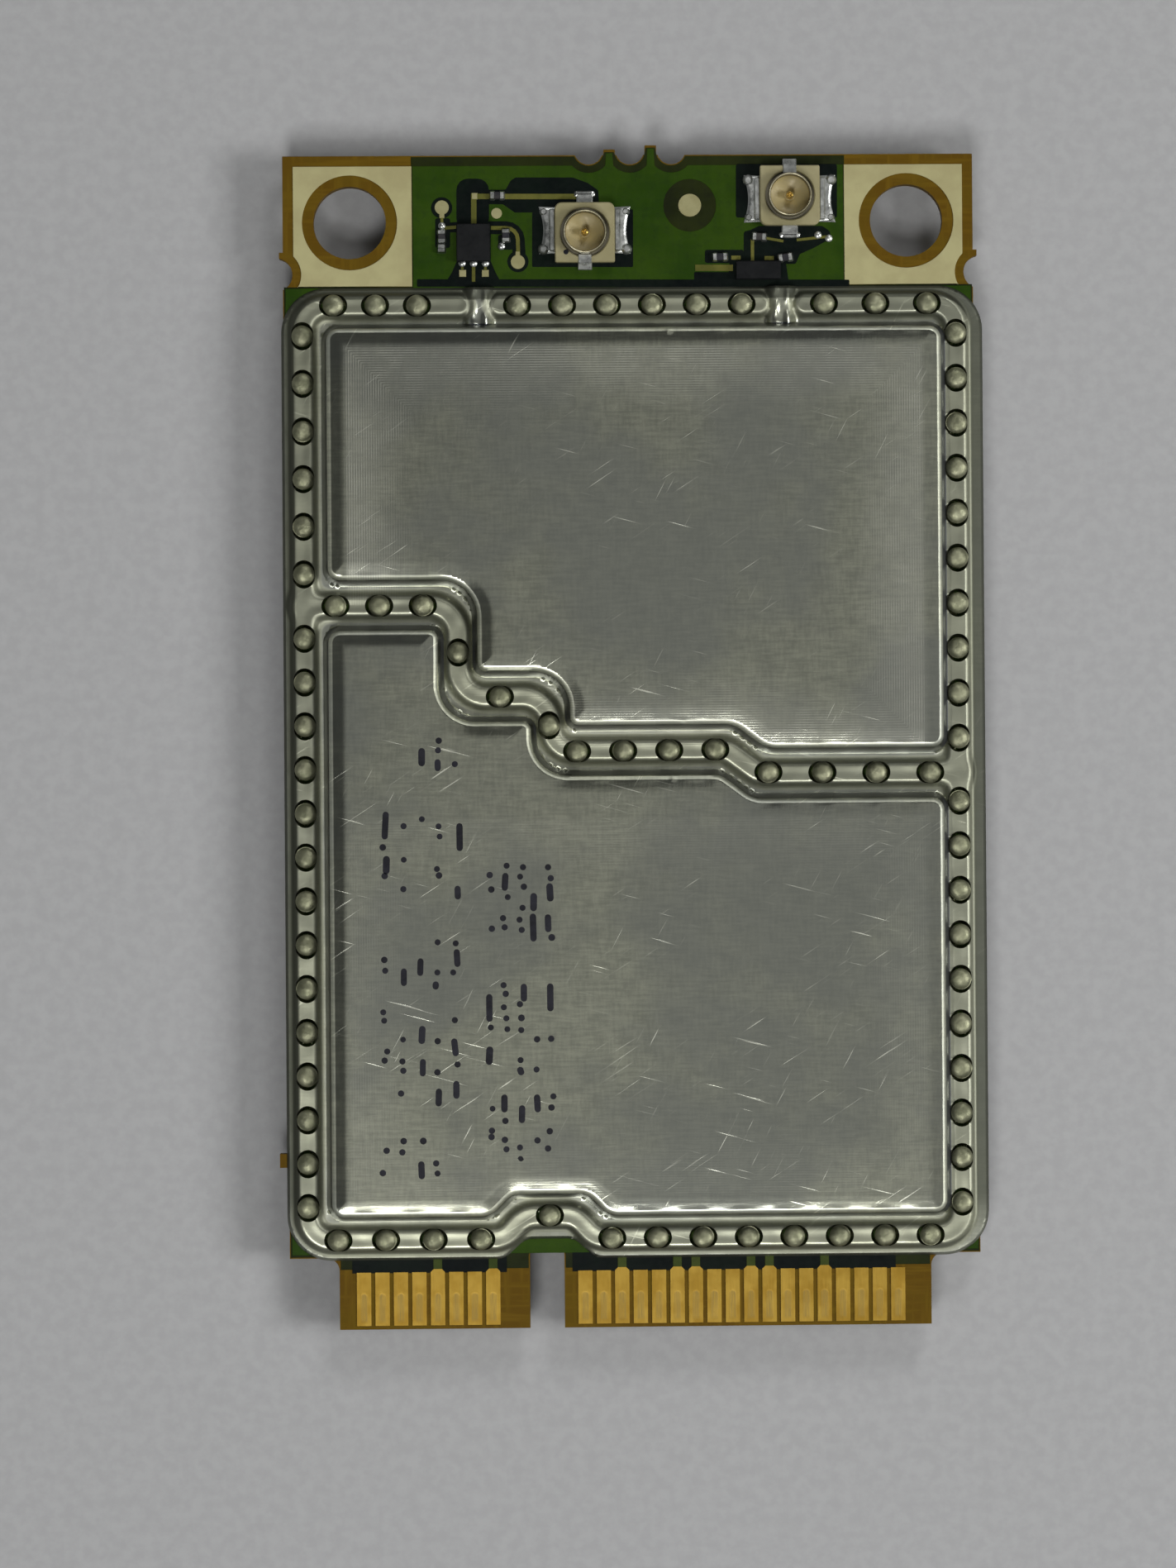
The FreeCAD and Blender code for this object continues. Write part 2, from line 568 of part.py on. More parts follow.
def face_level(top):
    """Lowest z of a copper layer on the top or the lower face."""
    return board_top if top else board_bottom - size("copper")


def finger(x, bottom, long_form):
    """One contact finger, plain or with the tapered neck of a ground finger."""
    half = size("contact_width") / 2
    low = size("contact_setback")
    high = low + size("contact_length")
    corners = [card_point(x - half, low), card_point(x + half, low), card_point(x + half, high)]
    if long_form:
        neck = size("contact_neck") / 2
        shoulder = high + (half - neck)
        tip = high + size("contact_long")
        corners += [card_point(x + neck, shoulder), card_point(x + neck, tip)]
        corners += [card_point(x - neck, tip), card_point(x - neck, shoulder)]
    corners.append(card_point(x - half, high))
    return slab_plain(corners, bottom, size("copper"))


def slab_plain(corners, bottom, thickness):
    """Flat piece with sharp corners."""
    points = [Vector(x, y, bottom) for x, y, radius in corners]
    return Part.Face(Part.makePolygon(points + points[:1])).extrude(Vector(0, 0, thickness))


def make_fingers(name, top):
    """Fingers of one face: as many at the standard pitch as the tongue holds on each side of the key."""
    shift = 0.0 if top else size("bottom_shift")
    pitch = size("contact_pitch")
    key_side = size("key_x") - size("key_width") / 2 - size("contact_before_key")
    left_count = int((key_side - size("first_top_x")) / pitch) + 1
    right_count = int((size("tongue_half") - size("contact_inset") - size("second_top_x")) / pitch) + 1
    ground_left = (4, 7) if top else (1, 8)
    ground_right = (2, 5, 6, 9, 10, 13) if top else (3, 7, 10, 14)
    pieces = []
    runs = (("first_top_x", left_count, ground_left), ("second_top_x", right_count, ground_right))
    for start, count, grounds in runs:
        for index in range(count):
            x = size(start) + shift + index * pitch
            pieces.append(finger(x, face_level(top), index in grounds))
    item = document.addObject("Part::Feature", name)
    item.Shape = Part.makeCompound(pieces)
    return add_node(item, name)


def make_screw_lands():
    """Plated lands round the two screw holes, on both faces."""
    border = size("pad_border")
    outer = size("board_width") / 2 - border
    inner = size("board_width") / 2 - size("pad_reach")
    far = size("board_length") - border
    near = size("shield_top_y") + size("pad_gap")
    bite_x = size("board_width") / 2 - size("side_bite_depth") + size("side_bite_radius")
    hole = faceted_round(LAND_RING_SIDES, [(size("pad_ring_radius"), 0.0), (size("pad_ring_radius"), 1.0)])
    bite_radius = size("side_bite_radius") + size("pad_bite_gap")
    bite = faceted_round(ROUND_PAD_SIDES, [(bite_radius, 0.0), (bite_radius, 1.0)])
    pieces = []
    for top in (True, False):
        bottom = face_level(top)
        for side in (-1, 1):
            corners = [(side * outer, near), (side * inner, near), (side * inner, far), (side * outer, far)]
            land = slab_plain([card_point(x, y) for x, y in corners], bottom, size("copper"))
            cutters = placed(hole, [(side * size("screw_x"), size("screw_y"), ALONG)], bottom - 0.5)
            cutters += placed(bite, [(side * bite_x, size("side_bite_y"), ALONG)], bottom - 0.5)
            pieces.append(without(land, cutters))
    item = document.addObject("Part::Feature", "ScrewLands")
    item.Shape = Part.makeCompound([solid for piece in pieces for solid in piece.Solids])
    return add_node(item, "mounting_pads")


# Shield outlines, all as seen from above and drawn clockwise.

def flange_outline():
    low = size("shield_bottom_y")
    raised = low + size("bump_rise")
    corner = size("shield_corner")
    middle = size("bump_x")
    flat = size("bump_half")
    foot = flat + size("bump_run")
    bend = size("bump_bend")
    return [
        card_point(size("shield_left"), size("shield_top_y"), corner),
        card_point(size("shield_right"), size("shield_top_y"), corner),
        card_point(size("shield_right"), low, corner),
        card_point(middle + foot, low, bend),
        card_point(middle + flat, raised, bend),
        card_point(middle - flat, raised, bend),
        card_point(middle - foot, low, bend),
        card_point(size("shield_left"), low, corner),
    ]


def ball_ring():
    """Middle line of the ridge that follows the shield's edge."""
    low = size("ball_bottom_y")
    corner = size("ridge_corner")
    middle = size("bump_x")
    flat = size("bump_half")
    foot = flat + size("bump_run")
    return [
        card_point(size("ball_left"), size("ball_top_y"), corner),
        card_point(size("ball_right"), size("ball_top_y"), corner),
        card_point(size("ball_right"), low, corner),
        card_point(middle + foot, low, corner),
        card_point(middle + flat, size("ball_key_y"), corner),
        card_point(middle - flat, size("ball_key_y"), corner),
        card_point(middle - foot, low, corner),
        card_point(size("ball_left"), low, corner),
    ]


def divider_corners():
    """Corners of the stepped divider line, left to right, without its two ends."""
    return [
        (size("step_one_x"), size("divider_one_y")),
        (size("step_one_x"), size("divider_two_y")),
        (size("step_two_x"), size("divider_two_y")),
        (size("step_two_x"), size("divider_three_y")),
        (size("step_three_x"), size("divider_three_y")),
        (size("step_four_x"), size("divider_four_y")),
    ]


def divider_line():
    corner = size("ridge_corner")
    inner = [card_point(x, y, corner) for x, y in divider_corners()]
    start = card_point(size("ball_left"), size("divider_one_y"))
    end = card_point(size("ball_right"), size("divider_four_y"))
    return [start] + inner + [end]


def stepped_rim(side):
    """Corners of the cavity rim beside the divider: side +1 for the upper cavity, -1 for the lower."""
    wide = size("divider_wide_bend")
    tight = size("divider_tight_bend")
    corners = []
    for index, (x, y) in enumerate(divider_corners()):
        across = size("divider_gap_x") if index < 4 else size("divider_gap_slant")
        outside = (index % 2 == 0) == (side > 0)
        corners.append(card_point(x + side * across, y + side * size("divider_gap_y"),
                                  wide if outside else tight))
    return corners


def upper_rim():
    corner = size("rim_corner")
    gap = size("divider_gap_y")
    return [
        card_point(size("rim_left"), size("rim_top_y"), corner),
        card_point(size("rim_right"), size("rim_top_y"), corner),
        card_point(size("rim_right"), size("divider_four_y") + gap, corner),
    ] + stepped_rim(1)[::-1] + [
        card_point(size("rim_left"), size("divider_one_y") + gap, corner),
    ]


def lower_rim_end():
    """Rim beside the tongue, with its rise over the key slot, right to left."""
    low = size("rim_bottom_y")
    raised = size("rim_bump_y")
    corner = size("rim_corner")
    middle = size("bump_x")
    flat = size("bump_half") + size("rim_bump_wider")
    foot = flat + size("bump_run")
    bend = size("rim_bump_bend")
    return [
        card_point(size("rim_right"), low, corner),
        card_point(middle + foot, low, bend),
        card_point(middle + flat, raised, bend),
        card_point(middle - flat, raised, bend),
        card_point(middle - foot, low, bend),
        card_point(size("rim_left"), low, corner),
    ]


def lower_rim():
    corner = size("rim_corner")
    gap = size("divider_gap_y")
    return [
        card_point(size("rim_left"), size("divider_one_y") - gap, corner),
    ] + stepped_rim(-1) + [
        card_point(size("rim_right"), size("divider_four_y") - gap, corner),
    ] + lower_rim_end()


def single_rim():
    """Rim of the undivided lower shield."""
    corner = size("rim_corner")
    return [
        card_point(size("rim_left"), size("rim_top_y"), corner),
        card_point(size("rim_right"), size("rim_top_y"), corner),
    ] + lower_rim_end()


# Ball places: runs of evenly spaced balls along the ridge, as (x, y, angle of the ridge there).

ALONG = 0.0
ACROSS = 90.0


def level_run(y, start, end, count):
    return [(x, y, ACROSS) for x in row_points(start, end, count)]


def upright_run(x, start, end, count):
    return [(x, y, ALONG) for y in row_points(start, end, count)]


def upper_ball_places():
    left, right = size("ball_left"), size("ball_right")
    top, low = size("ball_top_y"), size("ball_bottom_y")
    corner = size("corner_ball")
    beside = size("junction_ball")
    middle = size("bump_x")
    high, low_end = top - corner, low + corner
    places = level_run(top, left + corner, size("feed_one_x") - size("feed_one_before"), 3)
    places += level_run(top, size("feed_one_x") + size("feed_one_after"),
                        size("feed_two_x") - size("feed_two_before"), 6)
    places += level_run(top, size("feed_two_x") + size("feed_two_after"), right - corner, 3)
    places += upright_run(left, high, size("divider_one_y") + beside, 6)
    places += upright_run(left, size("divider_one_y") - beside, low_end, 14)
    places += upright_run(right, high, size("divider_four_y") + beside, 10)
    places += upright_run(right, size("divider_four_y") - beside, low_end, 10)
    places += level_run(size("divider_one_y"), left + corner,
                        size("step_one_x") - size("step_ball_before"), 3)
    places += [(size("step_one_x"), (size("divider_one_y") + size("divider_two_y")) / 2, ALONG)]
    places += [((size("step_one_x") + size("step_two_x")) / 2, size("divider_two_y"), ACROSS)]
    places += [(size("step_two_x"), (size("divider_two_y") + size("divider_three_y")) / 2, ALONG)]
    places += level_run(size("divider_three_y"), size("step_two_x") + size("step_ball_after"),
                        size("step_three_x") - size("slant_ball"), 4)
    places += level_run(size("divider_four_y"), size("step_four_x") + size("slant_ball"), right - corner, 4)
    places += level_run(low, left + corner, middle - size("bump_ball_before"), 4)
    places += [(middle, size("ball_key_y"), ACROSS)]
    places += level_run(low, middle + size("bump_ball_after"), right - corner, 8)
    return places


def lower_ball_places():
    """Wider spaced balls round the lower shield."""
    left, right = size("ball_left"), size("ball_right")
    top, low = size("ball_top_y"), size("ball_bottom_y")
    corner = size("ridge_corner") + size("ball_radius")
    across = round((right - left - 2 * corner) / size("lower_pitch")) + 1
    along = round((top - low - 2 * corner) / size("lower_pitch")) + 1
    places = level_run(top, left + corner, right - corner, across)
    bump_reach = size("bump_half") + size("bump_run") + size("ball_radius")
    for x in row_points(left + corner, right - corner, across):
        if abs(x - size("bump_x")) > bump_reach:
            places.append((x, low, ACROSS))
    places.append((size("bump_x"), size("ball_key_y"), ACROSS))
    for x in (left, right):
        places += upright_run(x, low + corner, top - corner, along)
    return places


def polygon_places(sides, radius):
    """Corners of a regular polygon with one flat towards +X."""
    turn = math.pi / sides
    return [Vector(radius * math.cos(turn * (2 * index + 1)), radius * math.sin(turn * (2 * index + 1)))
            for index in range(sides)]


def faceted_round(sides, sections):
    """Round form with flat sides, from (radius, z) sections."""
    return flat_sided([(polygon_places(sides, radius), z) for radius, z in sections])


def ball_form():
    """Reflowed solder ball, flat where it is soldered."""
    sections = [
        (size("ball_foot"), 0.0),
        (size("ball_radius"), size("ball_waist")),
        (size("ball_crown"), size("ball_height")),
    ]
    return faceted_round(BALL_SIDES, sections)


def placed(shape, places, z, flip=False):
    """Copies of a shape at each place, turned over when they hang from the lower face."""
    turn = Rotation(Vector(1, 0, 0), 180) if flip else Rotation()
    copies = []
    for x, y, angle in places:
        copy = shape.copy()
        spin = Rotation(Vector(0, 0, 1), angle)
        copy.Placement = Placement(Vector(x, y + edge_y, z), spin.multiply(turn))
        copies.append(copy)
    return copies


def make_balls(name, places, flip):
    level = board_bottom if flip else board_top
    item = document.addObject("Part::Feature", name)
    item.Shape = Part.makeCompound(placed(ball_form(), places, level, flip))
    return add_node(item, name)


# Shield film: an outer form less the same form one film thickness smaller, less the snap holes.

def cavity_form(rim, height, skin):
    """Drafted block of one cavity with a bevelled rim, skin thinner all round."""
    foot = shifted(rim, size("wall_draft") - skin)
    crown = shifted(rim, -size("rim_round") - skin)
    shoulder_z = height - size("rim_round") - skin
    start_z = 0.0 if skin else size("film")
    return drafted([(foot, start_z), (shifted(rim, -skin), shoulder_z), (crown, height - skin)])


def cavity_hollow(rim, height):
    """Inside of one cavity: straight drafted walls up to one film under the crown."""
    skin = size("film")
    foot = shifted(rim, size("wall_draft") - skin)
    crown = shifted(rim, -skin - size("rim_round") / 2)
    return drafted([(foot, -skin), (shifted(rim, -skin), height - size("rim_round") - skin),
                    (crown, height - skin)])


def ridge_ring(half_top, half_foot, low, high):
    ring = ball_ring()
    outer = drafted([(shifted(ring, half_foot), low), (shifted(ring, half_top), high)])
    inner = drafted([(shifted(ring, -half_foot), low), (shifted(ring, -half_top), high)])
    return outer.cut(inner)


def feed_block(x, half, high):
    """Box over the flange where the ridge stops at an antenna feed."""
    near = size("ball_top_y") - size("ridge_half") - size("ridge_slope") - 0.01
    far = size("ball_top_y") + size("ridge_half") + size("ridge_slope") + 0.2
    return Part.makeBox(2 * half, far - near, high, Vector(x - half, near + edge_y, size("film")))


def feed_arch(x, radius, start, end):
    """Half-round arch across the flange, from the cavity wall out to the edge."""
    low = start + edge_y
    rise = Part.Arc(Vector(x - radius, low, 0), Vector(x, low, radius), Vector(x + radius, low, 0))
    base = Part.LineSegment(Vector(x + radius, low, 0), Vector(x - radius, low, 0))
    face = Part.Face(Part.Wire([rise.toShape(), base.toShape()]))
    return face.extrude(Vector(0, end - start, 0))


def joined(shape, pieces):
    for piece in pieces:
        shape = shape.fuse(piece)
    return shape


def without(shape, pieces):
    for piece in pieces:
        shape = shape.cut(piece)
    return shape


def make_upper_shield():
    film = size("film")
    height = size("upper_height")
    ridge_top = film + size("ridge_height")
    foot_half = size("ridge_half") + size("ridge_slope")
    outer = slab(flange_outline(), 0.0, film)
    outer_ridges = ridge_ring(size("ridge_half"), foot_half, film, ridge_top)
    feeds = (size("feed_one_x"), size("feed_two_x"))
    outer_ridges = outer_ridges.cut([feed_block(x, size("feed_half"), 1.0) for x in feeds])
    divider = band_solid(divider_line(), [(foot_half, film), (size("ridge_half"), ridge_top)])
    cavities = [cavity_form(rim, height, 0.0) for rim in (upper_rim(), lower_rim())]
    inside = size("rim_top_y") - size("arch_root")
    outside = size("shield_top_y")
    arches = [feed_arch(x, size("feed_arch"), inside, outside) for x in feeds]
    outer = joined(outer, [outer_ridges, divider] + cavities + arches)

    hollow_half = foot_half - film
    top_half = size("ridge_half") - film
    hollow_ring = ridge_ring(top_half, hollow_half + size("ridge_slope") * film / size("ridge_height"),
                             -film, ridge_top - film)
    gaps = []
    for x in feeds:
        block = feed_block(x, size("feed_half") + film, 1.0)
        block.translate(Vector(0, 0, -2 * film))
        gaps.append(block)
    hollow_ring = hollow_ring.cut(gaps)
    hollow_divider = band_solid(divider_line(), [(hollow_half + 0.1, -film), (top_half, ridge_top - film)])
    hollows = [cavity_hollow(rim, height) for rim in (upper_rim(), lower_rim())]
    hollow_arches = [feed_arch(x, size("feed_arch") - film, inside, outside + 1.0) for x in feeds]
    shield = without(outer, [hollow_ring, hollow_divider] + hollows + hollow_arches)
    hole = faceted_round(HOLE_SIDES, [(size("ball_radius") + size("hole_clearance"), 0.0),
                             (size("ball_radius") + size("hole_clearance"), 1.0)])
    shield = shield.cut(placed(hole, upper_ball_places(), 0.0))
    item = document.addObject("Part::Feature", "UpperShield")
    item.Shape = shield
    item.Placement = Placement(Vector(0, 0, board_top), Rotation())
    return add_node(item, "upper_shield")


def make_lower_shield():
    film = size("film")
    height = size("lower_height")
    ridge_top = film + size("ridge_height")
    foot_half = size("ridge_half") + size("ridge_slope")
    outer = slab(flange_outline(), 0.0, film)
    ridge = ridge_ring(size("ridge_half"), foot_half, film, ridge_top)
    outer = joined(outer, [ridge, cavity_form(single_rim(), height, 0.0)])
    hollow_half = foot_half - film
    top_half = size("ridge_half") - film
    hollow_ring = ridge_ring(top_half, hollow_half + size("ridge_slope") * film / size("ridge_height"),
                             -film, ridge_top - film)
    shield = without(outer, [hollow_ring, cavity_hollow(single_rim(), height)])
    hole = faceted_round(HOLE_SIDES, [(size("ball_radius") + size("hole_clearance"), 0.0),
                             (size("ball_radius") + size("hole_clearance"), 1.0)])
    shield = shield.cut(placed(hole, lower_ball_places(), 0.0))
    item = document.addObject("Part::Feature", "LowerShield")
    item.Shape = shield.mirror(Vector(0, 0, 0), Vector(0, 0, 1))
    item.Placement = Placement(Vector(0, 0, board_bottom), Rotation())
    return add_node(item, "lower_shield")


# Antenna receptacles, drawn round their own centre on the board with the signal foot towards +Y.

def centred_box(width, low, high, bottom, top):
    """Box centred on X, from low to high along Y and from bottom to top."""
    return Part.makeBox(width, high - low, top - bottom, Vector(-width / 2, low, bottom))


def socket_strip(gap):
    """Signal strip from the centre contact out to its foot, gap wider all round."""
    return centred_box(size("socket_signal_width") + 2 * gap, 0.0, size("socket_signal_reach"),
                       0.0, size("socket_foot_height") + gap)


def socket_contact():
    radius = size("socket_pin_radius")
    pin = faceted_round(PIN_SIDES, [(radius, 0.0), (radius, size("socket_pin_height"))])
    return pin.fuse(socket_strip(0.0)).removeSplitter()


def socket_shell():
    outer = size("socket_ring_outer")
    inner = outer - size("socket_ring_wall")
    thick = size("socket_foot_height")
    half = size("socket_foot_width") / 2
    shift = size("socket_foot_shift")
    back = centred_box(size("socket_back_width"), -size("socket_back_reach"), 0.0, 0.0, thick)
    feet = centred_box(size("socket_span"), shift - half, shift + half, 0.0, thick)
    ring = faceted_round(SOCKET_SIDES, [(outer, 0.0), (outer, size("socket_height"))])
    bore = faceted_round(SOCKET_SIDES, [(inner, 0.0), (inner, size("socket_height"))])
    return ring.fuse(feet).fuse(back).cut(bore).cut(socket_strip(size("socket_strip_gap"))).removeSplitter()


def socket_base():
    half = size("socket_body") / 2
    cut = size("socket_corner")
    corners = [(-half, -half), (half, -half), (half, half - cut), (half - cut, half), (cut - half, half),
               (-half, half - cut)]
    body = slab_plain([(x, y, 0) for x, y in corners], 0.0, size("socket_body_height"))
    middle = size("socket_ring_outer") - size("socket_ring_wall") / 2
    well = faceted_round(SOCKET_SIDES, [(middle, size("socket_floor")), (middle, size("socket_body_height"))])
    return body.cut(well).cut(socket_shell()).cut(socket_contact())


def make_receptacle(name, turned):
    turn = Rotation(Vector(0, 0, 1), 180 if turned else 0)
    place = Placement(Vector(size(name + "_x"), size(name + "_y") + edge_y, board_top), turn)
    forms = (("base", socket_base()), ("shell", socket_shell()), ("contact", socket_contact()))
    for piece, shape in forms:
        item = document.addObject("Part::Feature", name + "_receptacle_" + piece)
        item.Shape = shape
        item.Placement = place
        add_node(item, name + "_receptacle_" + piece)


# Chips and small parts, soldered flat on a face of the board.

def chip_box(name, x, y, length, width, height, face):
    """Closed chip centred at (x, y), standing on the top face or hanging under the board."""
    box = document.addObject("Part::Box", name)
    box.Length = length
    box.Width = width
    box.Height = height
    bottom = board_top if face == "top" else board_bottom - height
    box.Placement = Placement(Vector(x - length / 2, y + edge_y - width / 2, bottom), Rotation())
    return box


def shield_place(place):
    """Place under the shields, from a share of half the card width and of the flange length."""
    across, along = place
    return across * size("half_width"), size("shield_bottom_y") + along * size("shield_reach")


def strip_place(place):
    """Place in the antenna strip, from a share of its free width and a distance from the far edge."""
    across, inset = place
    return across * size("land_edge"), size("board_length") - inset


def make_chips():
    for name, place, length, width, height, face in CHIPS:
        x, y = shield_place(place)
        add_node(chip_box(name, x, y, length, width, height, face), name)
    for name, length, width, height, face, places in CHIP_GROUPS:
        spots = [shield_place(place) for place in places]
        add_group(name, [chip_box(name + "_piece", x, y, length, width, height, face) for x, y in spots])
    for name, place, length, width, height in STRIP_CHIPS:
        x, y = strip_place(place)
        add_node(chip_box(name, x, y, length, width, height, "top"), name)


def add_group(name, boxes):
    group = document.addObject("Part::Compound", name)
    group.Links = boxes
    add_node(group, name)


def make_matching_parts():
    length, width = size("matching_length"), size("matching_width")
    boxes = []
    for place, along in MATCHING_PARTS:
        x, y = strip_place(place)
        across_x, across_y = (width, length) if along else (length, width)
        boxes.append(chip_box("matching_piece", x, y, across_x, across_y, size("matching_height"), "top"))
    add_group("matching_parts", boxes)


def make_round_pads():
    discs = []
    for place, radius in ROUND_PADS:
        x, y = strip_place(place)
        disc = faceted_round(ROUND_PAD_SIDES, [(radius, 0.0), (radius, size("copper"))])
        discs += placed(disc, [(x, y, ALONG)], board_top)
    item = document.addObject("Part::Feature", "RoundPads")
    item.Shape = Part.makeCompound(discs)
    add_node(item, "test_pads")


make_board()
make_fingers("edge_contacts_top", True)
make_fingers("edge_contacts_bottom", False)
make_screw_lands()
make_upper_shield()
make_lower_shield()
make_balls("solder_balls_upper", upper_ball_places(), False)
make_balls("solder_balls_lower", lower_ball_places(), True)
make_receptacle("main", False)
make_receptacle("diversity", True)
make_chips()
make_matching_parts()
make_round_pads()

document.recompute()
for item in document.Objects:
    if "Invalid" in item.State or "Error" in item.State:
        raise RuntimeError("%s failed: %s" % (item.Name, item.State))
os.makedirs("parts", exist_ok=True)
for node in nodes:
    shape = node.Shape
    if shape.isNull() or not shape.isValid():
        raise RuntimeError(node.Label + " has no valid shape")
    shape.exportStep("parts/%s.step" % node.Label)
    print(node.Label, len(shape.Solids), round(shape.Volume, 3))
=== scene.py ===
import math

import bpy
import numpy as np
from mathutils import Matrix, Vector
from mathutils.geometry import tessellate_polygon


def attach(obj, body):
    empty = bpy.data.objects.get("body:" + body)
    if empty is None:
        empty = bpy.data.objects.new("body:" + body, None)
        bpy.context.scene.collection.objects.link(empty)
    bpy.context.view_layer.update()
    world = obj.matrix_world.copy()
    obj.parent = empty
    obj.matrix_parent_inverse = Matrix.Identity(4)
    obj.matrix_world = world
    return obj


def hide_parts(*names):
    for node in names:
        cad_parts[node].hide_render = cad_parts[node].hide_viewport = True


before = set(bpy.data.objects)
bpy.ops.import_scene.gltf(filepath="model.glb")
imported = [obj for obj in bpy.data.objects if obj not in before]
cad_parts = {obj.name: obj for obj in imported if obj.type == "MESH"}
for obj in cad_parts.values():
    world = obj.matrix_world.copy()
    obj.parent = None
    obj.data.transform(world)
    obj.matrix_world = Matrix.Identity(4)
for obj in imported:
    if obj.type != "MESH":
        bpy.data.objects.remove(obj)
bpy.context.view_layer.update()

# Lengths below are millimetres. Places on the card are given as (x from the centre line, y from the
# tongue edge) and moved into the CAD frame by card(). Meshes are written in metres.
MM = 0.001
HALF_LENGTH = 25.475
BOARD_LOW = 1.25
BOARD_TOP = 2.25
HOLE_X, HOLE_Y = 12.1, 48.05
rng = np.random.default_rng(7)

# How the card lies in the photograph: pixels a millimetre across and down it, the pixel midway between
# the screw holes, and its small lean
PIXELS_ACROSS, PIXELS_DOWN = 27.82, 27.83
MIDDLE_X, MIDDLE_Y = 760.1, 267.9
LEAN_X, LEAN_Y, LEAN_MORE = 0.19, 0.151, 0.005


def card(points):
    """Card places to the CAD frame: y loses half the card length."""
    points = np.array(points, float)
    points[..., 1] -= HALF_LENGTH
    return points


def spots(pixels):
    """Places in the photograph's own pixels to CAD millimetres at the top of the board.

    With d the distance below the screw holes, px = MIDDLE_X + PIXELS_ACROSS x + LEAN_X d and
    py = MIDDLE_Y + PIXELS_DOWN d - x (LEAN_Y + LEAN_MORE d). A few rounds solve the two together.
    """
    pixels = np.array(pixels, float)
    down = (pixels[..., 1] - MIDDLE_Y) / PIXELS_DOWN
    for _ in range(4):
        across = (pixels[..., 0] - MIDDLE_X - LEAN_X * down) / PIXELS_ACROSS
        down = (pixels[..., 1] - MIDDLE_Y + across * (LEAN_Y + LEAN_MORE * down)) / PIXELS_DOWN
    return np.stack([across, HOLE_Y - down - HALF_LENGTH], -1)


def smooth(t):
    """Smoothstep: 3 t^2 - 2 t^3 between 0 and 1."""
    t = np.clip(t, 0.0, 1.0)
    return t * t * (3 - 2 * t)


def bell(t, width):
    """Bell curve e^-(t / width)^2, 1 at its top."""
    return np.exp(-(t / width) ** 2)


def soft_max(a, b, reach):
    """The larger of two heights, blended by a parabola where they differ by less than reach."""
    blend = np.clip(reach - np.abs(a - b), 0, None) / reach
    return np.maximum(a, b) + blend * blend * reach / 4


# Paths


def rounded(corners, closed=True, turn=7):
    """Corners (x, y, radius) as one polyline, with arcs whose chords turn by about turn degrees."""
    count = len(corners)
    out = []
    for index, (x, y, radius) in enumerate(corners):
        here = np.array([x, y])
        if radius == 0 or (not closed and index in (0, count - 1)):
            out.append(here)
            continue
        way_in = here - np.array(corners[index - 1][:2])
        way_out = np.array(corners[(index + 1) % count][:2]) - here
        way_in /= np.linalg.norm(way_in)
        way_out /= np.linalg.norm(way_out)
        cross = way_in[0] * way_out[1] - way_in[1] * way_out[0]
        angle = math.atan2(cross, way_in @ way_out)
        inward = math.copysign(1, angle) * np.array([-way_in[1], way_in[0]])
        centre = here - way_in * radius * math.tan(abs(angle) / 2) + inward * radius
        steps = max(2, int(abs(angle) / math.radians(turn)))
        for t in np.linspace(0, angle, steps + 1):
            spoke = (inward[1] * math.sin(t) - inward[0] * math.cos(t),
                     -inward[0] * math.sin(t) - inward[1] * math.cos(t))
            out.append(centre + radius * np.array(spoke))
    return np.array(out)


def turning_points(run):
    """The places where an open line turns, with both its ends."""
    before, after = run[1:-1] - run[:-2], run[2:] - run[1:-1]
    turns = np.abs(before[:, 0] * after[:, 1] - before[:, 1] * after[:, 0]) > 1e-4
    return run[np.r_[True, turns, True]]


def side_of(points, path, closed=True, chunk=6000):
    """Signed distance of each point to a polyline, positive on its left.

    For every run the nearest place is a + clip(t, 0, 1) (b - a), and the nearest run gives distance and
    side. Points are taken a chunk at a time to spare memory.
    """
    a = path if closed else path[:-1]
    b = np.roll(path, -1, 0) if closed else path[1:]
    along = b - a
    square = (along ** 2).sum(1)
    keep = square > 1e-12
    a, along, square = a[keep], along[keep], square[keep]
    out = np.empty(len(points))
    for start in range(0, len(points), chunk):
        p = points[start:start + chunk, None, :] - a[None]
        t = np.clip((p * along).sum(2) / square, 0, 1)
        distance = ((p - t[..., None] * along) ** 2).sum(2)
        nearest = distance.argmin(1)
        rows = np.arange(len(nearest))
        cross = along[nearest, 0] * p[rows, nearest, 1] - along[nearest, 1] * p[rows, nearest, 0]
        out[start:start + chunk] = np.sqrt(distance[rows, nearest]) * np.where(cross < 0, -1, 1)
    return out


def polygon_area(points):
    """Area in plan, positive for a counter-clockwise outline."""
    p = np.array(points)[:, :2]
    q = np.roll(p, -1, 0)
    return (p[:, 0] * q[:, 1] - p[:, 1] * q[:, 0]).sum() / 2


def offset(path, distance):
    """Closed polyline moved sideways, inwards for a positive distance on a clockwise outline.

    Each point moves along the mean of its two runs' normals, lengthened by 1 / cos of half the turn.
    """
    ahead = np.roll(path, -1, 0) - path
    ahead /= np.maximum(np.linalg.norm(ahead, axis=1), 1e-9)[:, None]
    normal = np.stack([ahead[:, 1], -ahead[:, 0]], -1)
    middle = normal + np.roll(normal, 1, 0)
    middle /= np.linalg.norm(middle, axis=1)[:, None]
    stretch = np.clip((middle * normal).sum(1), 0.5, 1)
    return path + middle * (distance / stretch)[:, None]


# The formed films. The ball ridge runs at these distances from the centre line and the tongue edge, and
# jogs inwards at the key slot.
LEFT, RIGHT, NEAR, FAR = -14.17, 14.21, 3.9, 44.42
KEY_X, JOG_Y = -3.72, 4.9
DIVIDER_LEFT, DIVIDER_RIGHT = 31.4, 24.0

